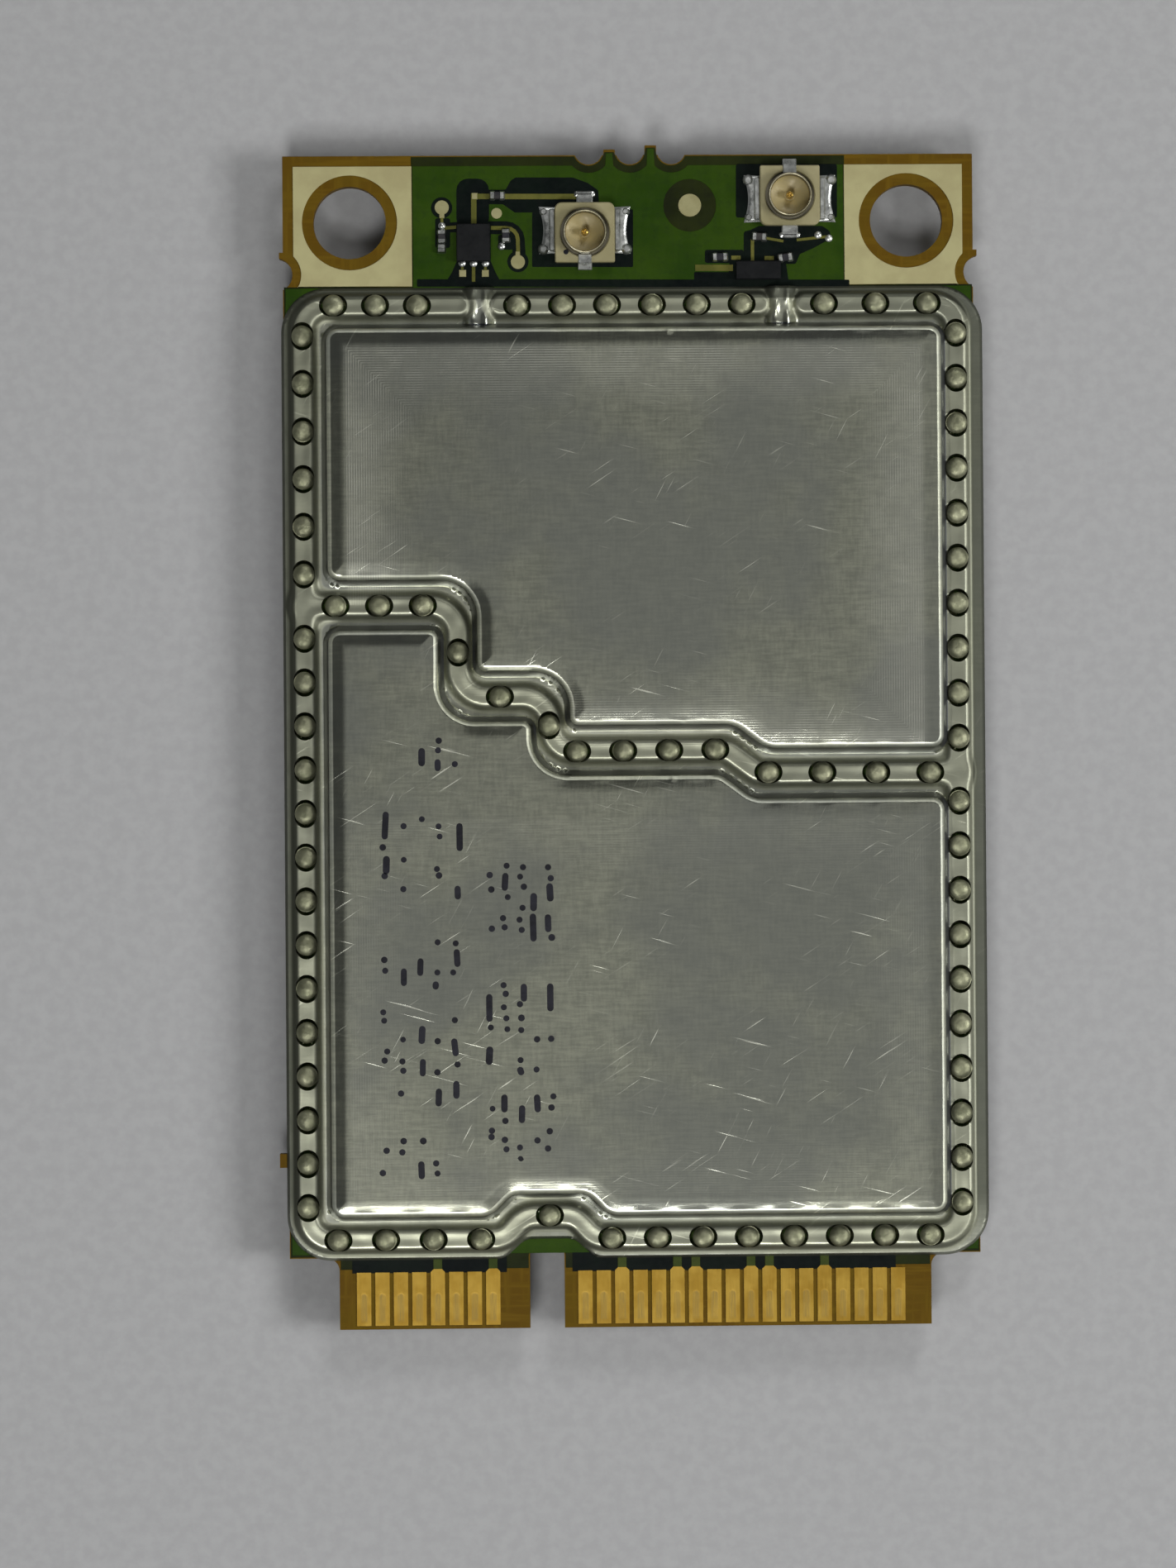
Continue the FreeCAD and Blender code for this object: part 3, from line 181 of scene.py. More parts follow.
# Outlines (x, y, corner radius), clockwise as on the card, so that their inside is on the right
FLANGE = [(-15.09, 45.21, 1.95), (15.38, 45.21, 1.95), (15.38, 3.0, 1.95), (-1.72, 3.0, 0.8),
          (-2.67, 3.87, 0.8), (-4.77, 3.87, 0.8), (-5.72, 3.0, 0.8), (-15.09, 3.0, 1.95)]
RING = [(LEFT, FAR, 1.05), (RIGHT, FAR, 1.05), (RIGHT, NEAR, 1.05), (-1.72, NEAR, 1.05),
        (-2.67, JOG_Y, 1.05), (-4.77, JOG_Y, 1.05), (-5.72, NEAR, 1.05), (LEFT, NEAR, 1.05)]
DIVIDER = [(LEFT, DIVIDER_LEFT, 0), (-7.52, DIVIDER_LEFT, 1.25), (-7.52, 27.42, 1.25), (-3.53, 27.42, 1.25),
           (-3.53, 25.06, 1.05), (4.1, 25.06, 1.05), (5.52, DIVIDER_RIGHT, 1.05), (RIGHT, DIVIDER_RIGHT, 0)]
UPPER_RIM = [(-13.03, 43.3, 0.45), (13.43, 43.3, 0.45), (13.43, 25.17, 0.45), (5.85, 25.17, 1.3),
             (4.43, 26.23, 1.3), (-2.6, 26.23, 0.3), (-2.6, 28.59, 1.7), (-6.59, 28.59, 0.3),
             (-6.59, 32.57, 1.7), (-13.03, 32.57, 0.45)]
LOWER_RIM = [(-13.03, 30.23, 0.45), (-8.45, 30.23, 0.3), (-8.45, 26.25, 1.7), (-4.46, 26.25, 0.3),
             (-4.46, 23.89, 1.7), (3.77, 23.89, 0.8), (5.19, 22.83, 1.3), (13.43, 22.83, 0.45),
             (13.43, 5.02, 0.45), (-1.12, 5.02, 0.9), (-2.07, 5.98, 0.9), (-5.37, 5.98, 0.9),
             (-6.32, 5.02, 0.9), (-13.03, 5.02, 0.45)]
SINGLE_RIM = UPPER_RIM[:2] + LOWER_RIM[8:]

# Thickness, heights over the board, and the ridge: rise, half width of its flat top, width of its flank,
# and how far two ridges ease into each other
FILM = 0.15
UPPER_HEIGHT, LOWER_HEIGHT = 1.715, 1.215
RIDGE_HEIGHT, RIDGE_HALF, RIDGE_FLANK, RIDGE_EASE = 0.34, 0.35, 0.30, 0.45
# Distances inside a cavity's rim: foot and top of its wall, edge of its crown, and where the crown is flat
WALL_FOOT, WALL_TOP, CROWN_EDGE, FLAT_CROWN = -0.34, -0.03, 0.07, 1.3
# The crown's outer part: distance inside the rim, depth under the flat middle, and width of its last rise
CROWN = np.array([(WALL_TOP, 0.125), (CROWN_EDGE, 0.052), (CROWN_EDGE + 0.35, 0.016)])
LAST_RISE = 0.3
EDGE_CHAMFER, EDGE_DROP = 0.12, 0.13
# A snap hole: half its width, and how far its middle line reaches to each side
SNAP_HALF, SNAP_REACH = 0.475, 0.14
# The arches over the antenna feeds: their places along the row, the row, half their length along a feed,
# their rise, half width and flank, and the two creases beside the middle of each
FEEDS, FEED_ROW, ARCH_REACH = (-6.5, 6.62), 44.35, 1.3
ARCH_HEIGHT, ARCH_HALF, ARCH_FLANK = 0.36, 0.30, 0.5
LEFT_CREASE, RIGHT_CREASE, CREASE_WIDTH = -0.22, 0.26, 0.085
NUBS = card([(1.71, 43.24), (2.2, 26.16), (1.75, 23.88)])
NUB_HEIGHT, NUB_RADIUS = 0.06, 0.1


def outline(corners, closed=True):
    return rounded([(x, y - HALF_LENGTH, r) for x, y, r in corners], closed)


def ball_row(start, end, count, heading):
    """Balls (x, y, heading of their snap hole) from start to end, moved into the CAD frame."""
    start, end = card(start), card(end)
    return [(*(start + (end - start) * k / max(count - 1, 1)), heading) for k in range(count)]


LEVEL, UPRIGHT = 0.0, math.pi / 2
# Rows of balls on the upper side: first place, last place, count, heading
UPPER_ROWS = [
    ((-12.82, 44.44), (-9.19, FAR), 3, LEVEL),
    ((-4.85, 44.4), (4.9, FAR), 6, LEVEL),
    ((8.48, FAR), (12.96, FAR), 3, LEVEL),
    ((LEFT, 43.11), (LEFT, 32.78), 6, UPRIGHT),
    ((LEFT, 29.99), (LEFT, 5.33), 14, UPRIGHT),
    ((RIGHT, 43.11), (RIGHT, 25.49), 10, UPRIGHT),
    ((RIGHT, 22.75), (RIGHT, 5.32), 10, UPRIGHT),
    ((-12.81, DIVIDER_LEFT), (-9.03, DIVIDER_LEFT), 3, LEVEL),
    ((-5.72, 27.42), (-5.72, 27.42), 1, LEVEL),
    ((-7.52, 29.35), (-3.6, 26.16), 2, UPRIGHT),
    ((-2.39, 25.02), (3.61, 25.06), 4, LEVEL),
    ((5.91, 24.05), (12.95, DIVIDER_RIGHT), 4, LEVEL),
    ((-12.88, NEAR), (-6.7, NEAR), 4, LEVEL),
    ((KEY_X, JOG_Y), (KEY_X, JOG_Y), 1, LEVEL),
    ((-1.02, NEAR), (12.81, NEAR), 8, LEVEL),
]
UPPER_BALLS = [ball for row in UPPER_ROWS for ball in ball_row(*row)]
# The lower side: distance of the first ball from a corner, spacing, and the stretch kept free at the key
CORNER, LOWER_PITCH, KEY_FREE = 1.495, 8.7, 2.445


def lower_balls():
    """Fewer balls, about LOWER_PITCH apart, round the lower shield."""
    across = round((RIGHT - LEFT - 2 * CORNER) / LOWER_PITCH) + 1
    along = round((FAR - NEAR - 2 * CORNER) / LOWER_PITCH) + 1
    far_side, near_side = [ball_row((LEFT + CORNER, y), (RIGHT - CORNER, y), across, LEVEL)
                           for y in (FAR, NEAR)]
    balls = far_side + [ball for ball in near_side if abs(ball[0] - KEY_X) > KEY_FREE]
    balls += ball_row((KEY_X, JOG_Y), (KEY_X, JOG_Y), 1, LEVEL)
    for x in (LEFT, RIGHT):
        balls += ball_row((x, NEAR + CORNER), (x, FAR - CORNER), along, UPRIGHT)
    return balls


LOWER_BALLS = lower_balls()


class Film:
    """Height of a formed film over the board, as one function of x and y."""

    def __init__(self, rims, height, ridges, balls, feeds):
        self.height = height
        self.flange = outline(FLANGE)
        self.rims = [outline(rim) for rim in rims]
        self.ridges = ridges
        self.balls = balls
        self.feeds = feeds

    def inside(self, p):
        """Distance inside the flange's edge."""
        return -side_of(p, self.flange)

    def rim(self, p):
        """Distance inside the nearest cavity rim, negative in the channels."""
        return np.max([-side_of(p, rim) for rim in self.rims], axis=0)

    def chamber(self, p):
        """Number of the nearest cavity, in the order of the rims."""
        return np.argmax([-side_of(p, rim) for rim in self.rims], axis=0)

    def ridge(self, p):
        """Distance from the nearest ridge line, eased in the corners where two ridges meet."""
        nearest = np.full(len(p), 9.0)
        for line in self.ridges:
            nearest = -soft_max(-nearest, -np.abs(side_of(p, line, False)), RIDGE_EASE)
        return nearest

    def hole(self, p):
        """Distance inside the nearest snap hole, a slot with round ends along its ridge."""
        best = np.full(len(p), -9.0)
        for x, y, angle in self.balls:
            near = (np.abs(p[:, 0] - x) < 1.0) & (np.abs(p[:, 1] - y) < 1.0)
            if near.any():
                q = p[near] - (x, y)
                u = q[:, 0] * math.cos(angle) + q[:, 1] * math.sin(angle)
                v = -q[:, 0] * math.sin(angle) + q[:, 1] * math.cos(angle)
                u = np.clip(np.abs(u) - SNAP_REACH, 0, None)
                best[near] = np.maximum(best[near], SNAP_HALF - np.hypot(u, v))
        return best

    def over_feed(self, p, x, height):
        """The height raised to an arch over the feed at x, with two creases that swell in turn along it."""
        from_feed = p[:, 0] - x
        row = p[:, 1] + HALF_LENGTH - FEED_ROW
        arch = ARCH_HEIGHT * (1 - smooth((np.abs(from_feed) - ARCH_HALF) / ARCH_FLANK))
        swell = 0.06 + 0.06 * np.cos(6.5 * row + 0.5)
        creases = swell * bell(from_feed - LEFT_CREASE, CREASE_WIDTH)
        creases += (0.11 - swell) * bell(from_feed - RIGHT_CREASE, CREASE_WIDTH)
        lifted = FILM * smooth((0.7 - np.abs(from_feed)) / 0.1) + arch + creases
        lifted = soft_max(height, lifted * smooth((ARCH_REACH - 0.05 - np.abs(row)) / 0.2), 0.05)
        return np.where(np.abs(row) < ARCH_REACH, lifted, height)

    def at(self, p, rim, ridge):
        """Flange plate, raised to a flat-topped ridge near the ridge lines, and up a wall into each cavity.

        The ridge is FILM + RIDGE_HEIGHT (1 - smoothstep((d - RIDGE_HALF) / RIDGE_FLANK)) of the distance d to
        its line, a hair lower along its middle. The wall climbs evenly from WALL_FOOT to WALL_TOP, turns over
        to CROWN_EDGE, and the crown inside that edge levels off. The flange's own edge is chamfered. A ripple
        of 0.008 runs over the channels, and the film dips into each snap hole.
        """
        top = FILM + RIDGE_HEIGHT * (1 - smooth((ridge - RIDGE_HALF) / RIDGE_FLANK))
        top -= 0.01 * (1 - smooth(ridge / 0.3))
        inner, last = CROWN[-1]
        wall = np.interp(rim, [WALL_FOOT, *CROWN[:, 0]], [FILM, *(self.height - CROWN[:, 1])])
        wall += last * (1 - (1 - np.clip((rim - inner) / LAST_RISE, 0, 1)) ** 2)
        height = soft_max(top, wall, 0.06)
        for x in self.feeds:
            height = self.over_feed(p, x, height)
        for nub in NUBS:
            height += NUB_HEIGHT * bell(np.linalg.norm(p - nub, axis=1), NUB_RADIUS)
        height -= EDGE_DROP * np.clip(1 - self.inside(p) / EDGE_CHAMFER, 0, 1)
        bend_x, bend_y = 1.3 * np.sin(1.7 * p[:, 1]), np.sin(2.1 * p[:, 0])
        ripple = np.sin(3.1 * p[:, 0] + bend_x) * np.sin(2.7 * p[:, 1] + bend_y)
        height += 0.008 * ripple * smooth((0.3 - rim) / 0.3)
        drop = smooth(self.hole(p) / 0.09)
        return np.minimum(height * (1 - drop) + 0.03 * drop, self.height + 0.03)


# Meshes


def band(lower, upper):
    """Side faces between two equal rings of point numbers, outwards where they run counter-clockwise."""
    count = len(lower)
    return [[lower[k], lower[(k + 1) % count], upper[(k + 1) % count], upper[k]] for k in range(count)]


def edge_loops(faces):
    """Closed loops of the edges that only one face uses, in the faces' own direction."""
    edges = {}
    for face in faces:
        for a, b in zip(face, face[1:] + face[:1]):
            if (b, a) in edges:
                del edges[(b, a)]
            else:
                edges[(a, b)] = True
    following = {}
    for a, b in edges:
        following.setdefault(a, []).append(b)
    loops = []
    while following:
        start = next(iter(following))
        loop, here = [], start
        while not loop or here != start:
            loop.append(here)
            after = following[here].pop()
            if not following[here]:
                del following[here]
            here = after
        loops.append(loop)
    return loops


def fill(loops, points):
    """Triangles over flat loops of point numbers: the first loop is the outside, the others are holes."""
    flat = [index for loop in loops for index in loop]
    faces = []
    for corners in tessellate_polygon([[Vector((*points[i][:2], 0)) for i in loop] for loop in loops]):
        a, b, c = [flat[corner] for corner in corners]
        faces.append([a, b, c] if polygon_area([points[a], points[b], points[c]]) > 0 else [a, c, b])
    return faces


def pulled(points, field, value, cell):
    """Grid points within half a cell of the line where a field is 0, moved onto it along the field's slope.

    The field's value at every point is given, and comes back as 0 for the points that moved.
    """
    near = np.abs(value) <= 0.5001 * cell
    q = points[near]
    tiny = 0.004
    slope = np.stack([field(q + (tiny, 0)) - field(q - (tiny, 0)),
                      field(q + (0, tiny)) - field(q - (0, tiny))], -1) / (2 * tiny)
    slope /= np.maximum(np.linalg.norm(slope, axis=1), 0.3)[:, None]
    points = points.copy()
    points[near] -= slope * value[near][:, None]
    return points, np.where(near, 0, value)


def trimmed(quads, inside, hole):
    """Faces of a grid within the flange's edge: a quad that loses one corner to it becomes a triangle.

    A quad that the edge of a snap hole crosses is cut in two along that edge.
    """
    out = inside[quads] < -1e-9
    triangles = []
    for quad in quads[out.sum(1) == 1]:
        quad = np.roll(quad, -int(np.argmax(inside[quad] < -1e-9)))[1:]
        if inside[quad[0]] == 0 and inside[quad[2]] == 0:
            triangles.append(quad.tolist())
    whole = quads[~out.any(1)]
    cut = (hole[whole] > 1e-9).any(1) & (hole[whole] < -1e-9).any(1)
    for quad in whole[cut].tolist():
        if hole[quad[0]] * hole[quad[2]] < 0:
            quad = quad[1:] + quad[:1]
        triangles += [quad[:3], [quad[0], *quad[2:]]]
    return whole[~cut].tolist() + triangles


def film_mesh(film, cell):
    """A film's top on a fine grid whose points are pulled onto its edges: flange, holes, foot and rim.

    Grid cells deep inside a cavity are left to one flat fill. Below, the flange is flat, and each cavity is
    hollow up to one film under its crown. Gives the points, the faces, the numbers that the film's finish
    reads at each point, and which points lie on the crease along the flange's chamfer.
    """
    low, high = film.flange.min(0) - cell, film.flange.max(0) + cell
    xs, ys = [np.arange(low[axis], high[axis] + cell, cell) for axis in (0, 1)]
    grid = np.stack(np.meshgrid(xs, ys), -1).reshape(-1, 2)
    rim = film.rim(grid)
    for level in (WALL_FOOT, WALL_TOP, CROWN_EDGE):
        grid, rim = pulled(grid, film.rim, rim - level, cell)
        rim += level
    grid, chamfer = pulled(grid, film.inside, film.inside(grid) - EDGE_CHAMFER, cell)
    grid, hole = pulled(grid, film.hole, film.hole(grid), cell)
    grid, inside = pulled(grid, film.inside, film.inside(grid), cell)
    corner = (np.arange(len(ys) - 1)[:, None] * len(xs) + np.arange(len(xs) - 1)).ravel()
    quads = corner[:, None] + (0, 1, len(xs) + 1, len(xs))
    faces = trimmed(quads[~(rim > FLAT_CROWN)[quads].all(1)], inside, hole)
    used = np.unique(np.concatenate(faces))
    renumber = dict(zip(used.tolist(), range(len(used))))
    faces = [[renumber[i] for i in face] for face in faces]
    plan = grid[used]
    rim, ridge = film.rim(plan), film.ridge(plan)
    points = np.column_stack([plan, film.at(plan, rim, ridge)]).tolist()

    loops = sorted(edge_loops(faces), key=lambda loop: -abs(polygon_area([points[i] for i in loop])))
    edge = loops[0]
    for loop in loops[1:]:
        if len(loop) > 40:
            faces += fill([loop], points)
    under = list(range(len(points), len(points) + len(edge)))
    points += [[*points[i][:2], 0.0] for i in edge]
    faces += band(under, edge)
    hollows = []
    for line in film.rims:
        foot = list(range(len(points), len(points) + len(line)))
        ceiling = [i + len(line) for i in foot]
        for distance, z in ((-0.2, 0.0), (0.2, film.height - FILM - 0.03)):
            points += [[x, y, z] for x, y in offset(line, distance)]
        faces += band(foot, ceiling) + [face[::-1] for face in fill([ceiling], points)]
        hollows.append(foot)
    faces += [face[::-1] for face in fill([under] + hollows, points)]
    fields = {}
    for field, below, numbers in (("rim", -1.0, np.clip(rim, -1, 3)),
                                  ("ridge", 1.0, np.clip(ridge, 0, 3)),
                                  ("edge", 0.0, np.clip(film.inside(plan), 0, 3)),
                                  ("chamber", 0.0, film.chamber(plan))):
        fields[field] = np.full(len(points), below)
        fields[field][:len(plan)] = numbers
    crease = np.zeros(len(points), bool)
    crease[:len(plan)] = chamfer[used] == 0
    return np.array(points), faces, fields, crease


def merge(parts):
    """Several (points, faces) as one."""
    points, faces, count = [], [], 0
    for p, f in parts:
        points.append(np.asarray(p, float))
        faces += [[i + count for i in face] for face in f]
        count += len(p)
    return np.vstack(points), faces


def lathe(profile, x, y, sides, turn=0.0):
    """Profile (radius, z) carried round an upright axis: x + r cos t, y + r sin t, z.

    Ends on the axis close it, and so does a profile that ends where it starts.
    """
    t = turn + 2 * math.pi * np.arange(sides) / sides
    points, rings = [], []
    for number, (radius, z) in enumerate(profile):
        if number and (radius, z) == profile[0]:
            rings.append(rings[0])
        elif radius > 0:
            rings.append(list(range(len(points), len(points) + sides)))
            ring = np.column_stack([x + radius * np.cos(t), y + radius * np.sin(t), np.full(sides, z)])
            points += ring.tolist()
        else:
            rings.append([len(points)] * sides)
            points.append([x, y, z])
    faces = [list(dict.fromkeys(face)) for a, b in zip(rings, rings[1:]) for face in band(a, b)]
    return np.array(points), [face for face in faces if len(face) > 2]


def prism(path, levels, holes=()):
    """Closed form over an outline, from (inset, z) levels, with holes through it and flat at both ends."""
    points, faces, ends = [], [], []
    for number, loop in enumerate([path, *holes]):
        loop = np.asarray(loop, float)
        if (polygon_area(loop) < 0) == (number == 0):
            loop = loop[::-1]
        rings = []
        for inset, z in levels:
            rings.append(list(range(len(points), len(points) + len(loop))))
            points += np.column_stack([offset(loop, -inset), np.full(len(loop), z)]).tolist()
        for lower, upper in zip(rings, rings[1:]):
            faces += band(lower, upper)
        ends.append((rings[0], rings[-1]))
    bottoms, tops = zip(*ends)
    return np.array(points), faces + [face[::-1] for face in fill(bottoms, points)] + fill(tops, points)


def plate(path, low, high, holes=(), ease=0.012):
    """Thin flat layer with eased upper edges, with holes through it."""
    return prism(path, [(0, low), (0, high - ease), (ease, high)], holes)


def box_path(x0, y0, x1, y1, radius=0.0):
    return rounded([(x0, y0, radius), (x1, y0, radius), (x1, y1, radius), (x0, y1, radius)], turn=22)


def disc_path(x, y, radius, sides=28):
    t = 2 * math.pi * np.arange(sides) / sides
    return np.column_stack([x + radius * np.cos(t), y + radius * np.sin(t)])


def stroke(points, width, bend=0.3):
    """Outline of a line of the given width through points: its left side out, its right side back.

    Bends wider than the line are rounded and others mitred: a corner moves (n1 + n2) / (1 + n1.n2) half
    widths.
    """
    radius = bend if bend > width / 2 else 0
    inner = range(1, len(points) - 1)
    line = rounded([(x, y, radius if k in inner else 0) for k, (x, y) in enumerate(points)], False, 18)
    way = np.diff(line, axis=0)
    way /= np.linalg.norm(way, axis=1)[:, None]
    normal = np.column_stack([-way[:, 1], way[:, 0]])
    before, after = np.vstack([normal[:1], normal]), np.vstack([normal, normal[-1:]])
    side = (before + after) / (1 + (before * after).sum(1))[:, None] * width / 2
    return np.vstack([line + side, (line - side)[::-1]])


def flipped(form):
    """The same form mirrored in the level plane z = 0, with its faces kept outwards."""
    points, faces = form
    return points * (1, 1, -1), [face[::-1] for face in faces]


def raised(form, z):
    points, faces = form
    return points + (0, 0, z), faces


def make_piece(name, form, lift, finish, replaces=(), sharp=30, fields=None, crease=None):
    """One finished piece, in millimetres of the CAD frame, lifted to its height and riding on the card.

    Edges that turn by more than sharp degrees stay crisp, as do those along a crease. The fields are numbers
    kept at each point for the finish to read.
    """
    points, faces = raised(form, lift)
    mesh = bpy.data.meshes.new(name)
    mesh.from_pydata((points * MM).tolist(), [], faces)
    mesh.update()
    mesh.polygons.foreach_set("use_smooth", [True] * len(mesh.polygons))
    mesh.set_sharp_from_angle(angle=math.radians(sharp))
    for field, numbers in (fields or {}).items():
        mesh.attributes.new(field, "FLOAT", "POINT").data.foreach_set("value", numbers)
    if crease is not None:
        ends = np.empty(2 * len(mesh.edges), int)
        crisp = np.empty(len(mesh.edges), bool)
        mesh.edges.foreach_get("vertices", ends)
        mesh.edges.foreach_get("use_edge_sharp", crisp)
        mesh.edges.foreach_set("use_edge_sharp", crisp | crease[ends.reshape(-1, 2)].all(1))
    piece = bpy.data.objects.new(name, mesh)
    bpy.context.scene.collection.objects.link(piece)
    mesh.materials.append(finish)
    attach(piece, "root")
    if replaces:
        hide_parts(*replaces)


# Finishes


class Finish:
    """A node material built up step by step. Patterns read Object coordinates, in metres."""

    def __init__(self, name, colour, metallic=0.0, roughness=0.5, specular=0.5):
        self.material = bpy.data.materials.new(name)
        self.material.use_nodes = True
        self.tree = self.material.node_tree
        self.shader = self.tree.nodes["Principled BSDF"]
        for socket, number in (("Base Color", (*colour, 1)), ("Metallic", metallic), ("Roughness", roughness),
                               ("Specular IOR Level", specular)):
            self.shader.inputs[socket].default_value = number
        self.place = self.node("ShaderNodeTexCoord").outputs["Object"]

    def node(self, kind, inputs=(), **settings):
        node = self.tree.nodes.new(kind)
        for key, number in settings.items():
            setattr(node, key, number)
        for key, source in dict(inputs).items():
            if isinstance(source, bpy.types.NodeSocket):
                self.tree.links.new(source, node.inputs[key])
            else:
                node.inputs[key].default_value = source
        return node

    def axes(self):
        return self.node("ShaderNodeSeparateXYZ", {0: self.place}).outputs

    def stretched(self, scale=(1, 1, 1), degrees=0.0, shift=(0, 0, 0)):
        """Object coordinates turned about Z, then scaled along each axis, in repeats a metre."""
        inputs = {"Vector": self.place, "Scale": [1 / s for s in scale], "Location": shift,
                  "Rotation": (0, 0, math.radians(degrees))}
        return self.node("ShaderNodeMapping", inputs, vector_type="TEXTURE").outputs[0]

    def noise(self, scale, detail=3.0, roughness=0.55, vector=None):
        inputs = {"Vector": vector or self.place, "Scale": scale, "Detail": detail, "Roughness": roughness}
        return self.node("ShaderNodeTexNoise", inputs).outputs[0]

    def grain(self, scale, detail=3.0, roughness=0.55, degrees=0.0, shift=(0, 0, 0)):
        """Noise drawn out: scale gives its repeats a metre along each axis."""
        return self.noise(1.0, detail, roughness, self.stretched(scale, degrees, shift))

    def reckon(self, kind, first, *others):
        for other in others:
            first = self.node("ShaderNodeMath", {0: first, 1: other}, operation=kind).outputs[0]
        return first

    def plus(self, *values):
        return self.reckon("ADD", *values)

    def minus(self, *values):
        return self.reckon("SUBTRACT", *values)

    def times(self, *values):
        return self.reckon("MULTIPLY", *values)

    def least(self, *values):
        return self.reckon("MINIMUM", *values)

    def most(self, *values):
        return self.reckon("MAXIMUM", *values)

    def between(self, value, low, high, out_low=0.0, out_high=1.0, kind="SMOOTHSTEP"):
        """The value carried from low..high to out_low..out_high, smoothly, and held outside it."""
        inputs = {0: value, 1: low, 2: high, 3: out_low, 4: out_high}
        return self.node("ShaderNodeMapRange", inputs, interpolation_type=kind).outputs[0]

    def blend(self, share, under, over):
        """Two colours mixed: all of the second where the share is 1."""
        under, over = [(*colour, 1) if isinstance(colour, tuple) else colour for colour in (under, over)]
        return self.node("ShaderNodeMix", {0: share, 6: under, 7: over}, data_type="RGBA").outputs[2]

    def done(self, colour, roughness=None, relief=None, depth=0.0):
        """The material, with its colour, its roughness and a relief of the given depth in millimetres."""
        if relief is not None:
            relief = self.node("ShaderNodeBump", {"Height": relief, "Distance": depth * MM, "Strength": 1.0})
            self.tree.links.new(relief.outputs[0], self.shader.inputs["Normal"])
        if roughness is not None:
            self.tree.links.new(roughness, self.shader.inputs["Roughness"])
        self.tree.links.new(colour, self.shader.inputs["Base Color"])
        return self.material


TOOL_PITCH = 0.107


def tool_lines(f, cavities, chamber):
    """Waves left by the forming tool, TOOL_PITCH apart, and the band inside each rim that holds them.

    They are upright where the nearest side of the cavity is its left or right side, and level elsewhere. The
    band starts 0.75 mm inside the rim and fades out, between 2.2 and 5.2 mm, at a wandering depth.
    """
    x, y = f.axes()[:2]
    lines = bands = None
    for number, (left, right, low, high, strength) in enumerate(cavities):
        side = f.least(f.minus(x, left * MM), f.minus(right * MM, x))
        end = f.least(f.minus(y, low * MM), f.minus(high * MM, y))
        upright = f.between(f.minus(end, side), -0.0001, 0.0001)
        depth = f.least(side, end)
        wave = f.reckon("SINE", f.times(depth, 2 * math.pi / (TOOL_PITCH * MM)), 0.0)
        reach = f.plus(depth, f.times(f.noise(260.0, 2.0), 0.0022))
        band = f.times(f.between(reach, 0.0052, 0.0022), f.between(depth, 0.0006, 0.0009),
                       f.between(upright, 0.0, 1.0, 0.85 * strength, strength),
                       f.minus(1.0, f.reckon("ABSOLUTE", f.minus(chamber, number), 0.0)))
        here = f.times(wave, band)
        lines = here if lines is None else f.plus(lines, here)
        bands = band if bands is None else f.most(bands, band)
    patchy = f.between(f.noise(900.0, 3.0), 0.4, 0.62, 0.35, 1.0)
    return f.times(lines, patchy), bands


# Scratches: repeats a metre, heading in degrees, shift, and the noise from which a scratch starts and is full
SCRATCHES = [((300, 9000, 1), 33, (0, 0, 0), 0.655, 0.74), ((260, 8000, 1), -15, (0.3, 0.5, 0), 0.67, 0.75),
             ((340, 8600, 1), 62, (0.1, 0.2, 0), 0.68, 0.76)]


def scratched(f):
    """Hairline scratches in three directions, gathered in patches."""
    hairs = [f.between(f.grain(scale, 2.0, degrees=heading, shift=shift), low, high)
             for scale, heading, shift, low, high in SCRATCHES]
    patches = f.between(f.noise(190.0, 2.0, vector=f.stretched(shift=(0.2, 0.1, 0))), 0.42, 0.58)
    return f.times(f.most(*hairs), patches)


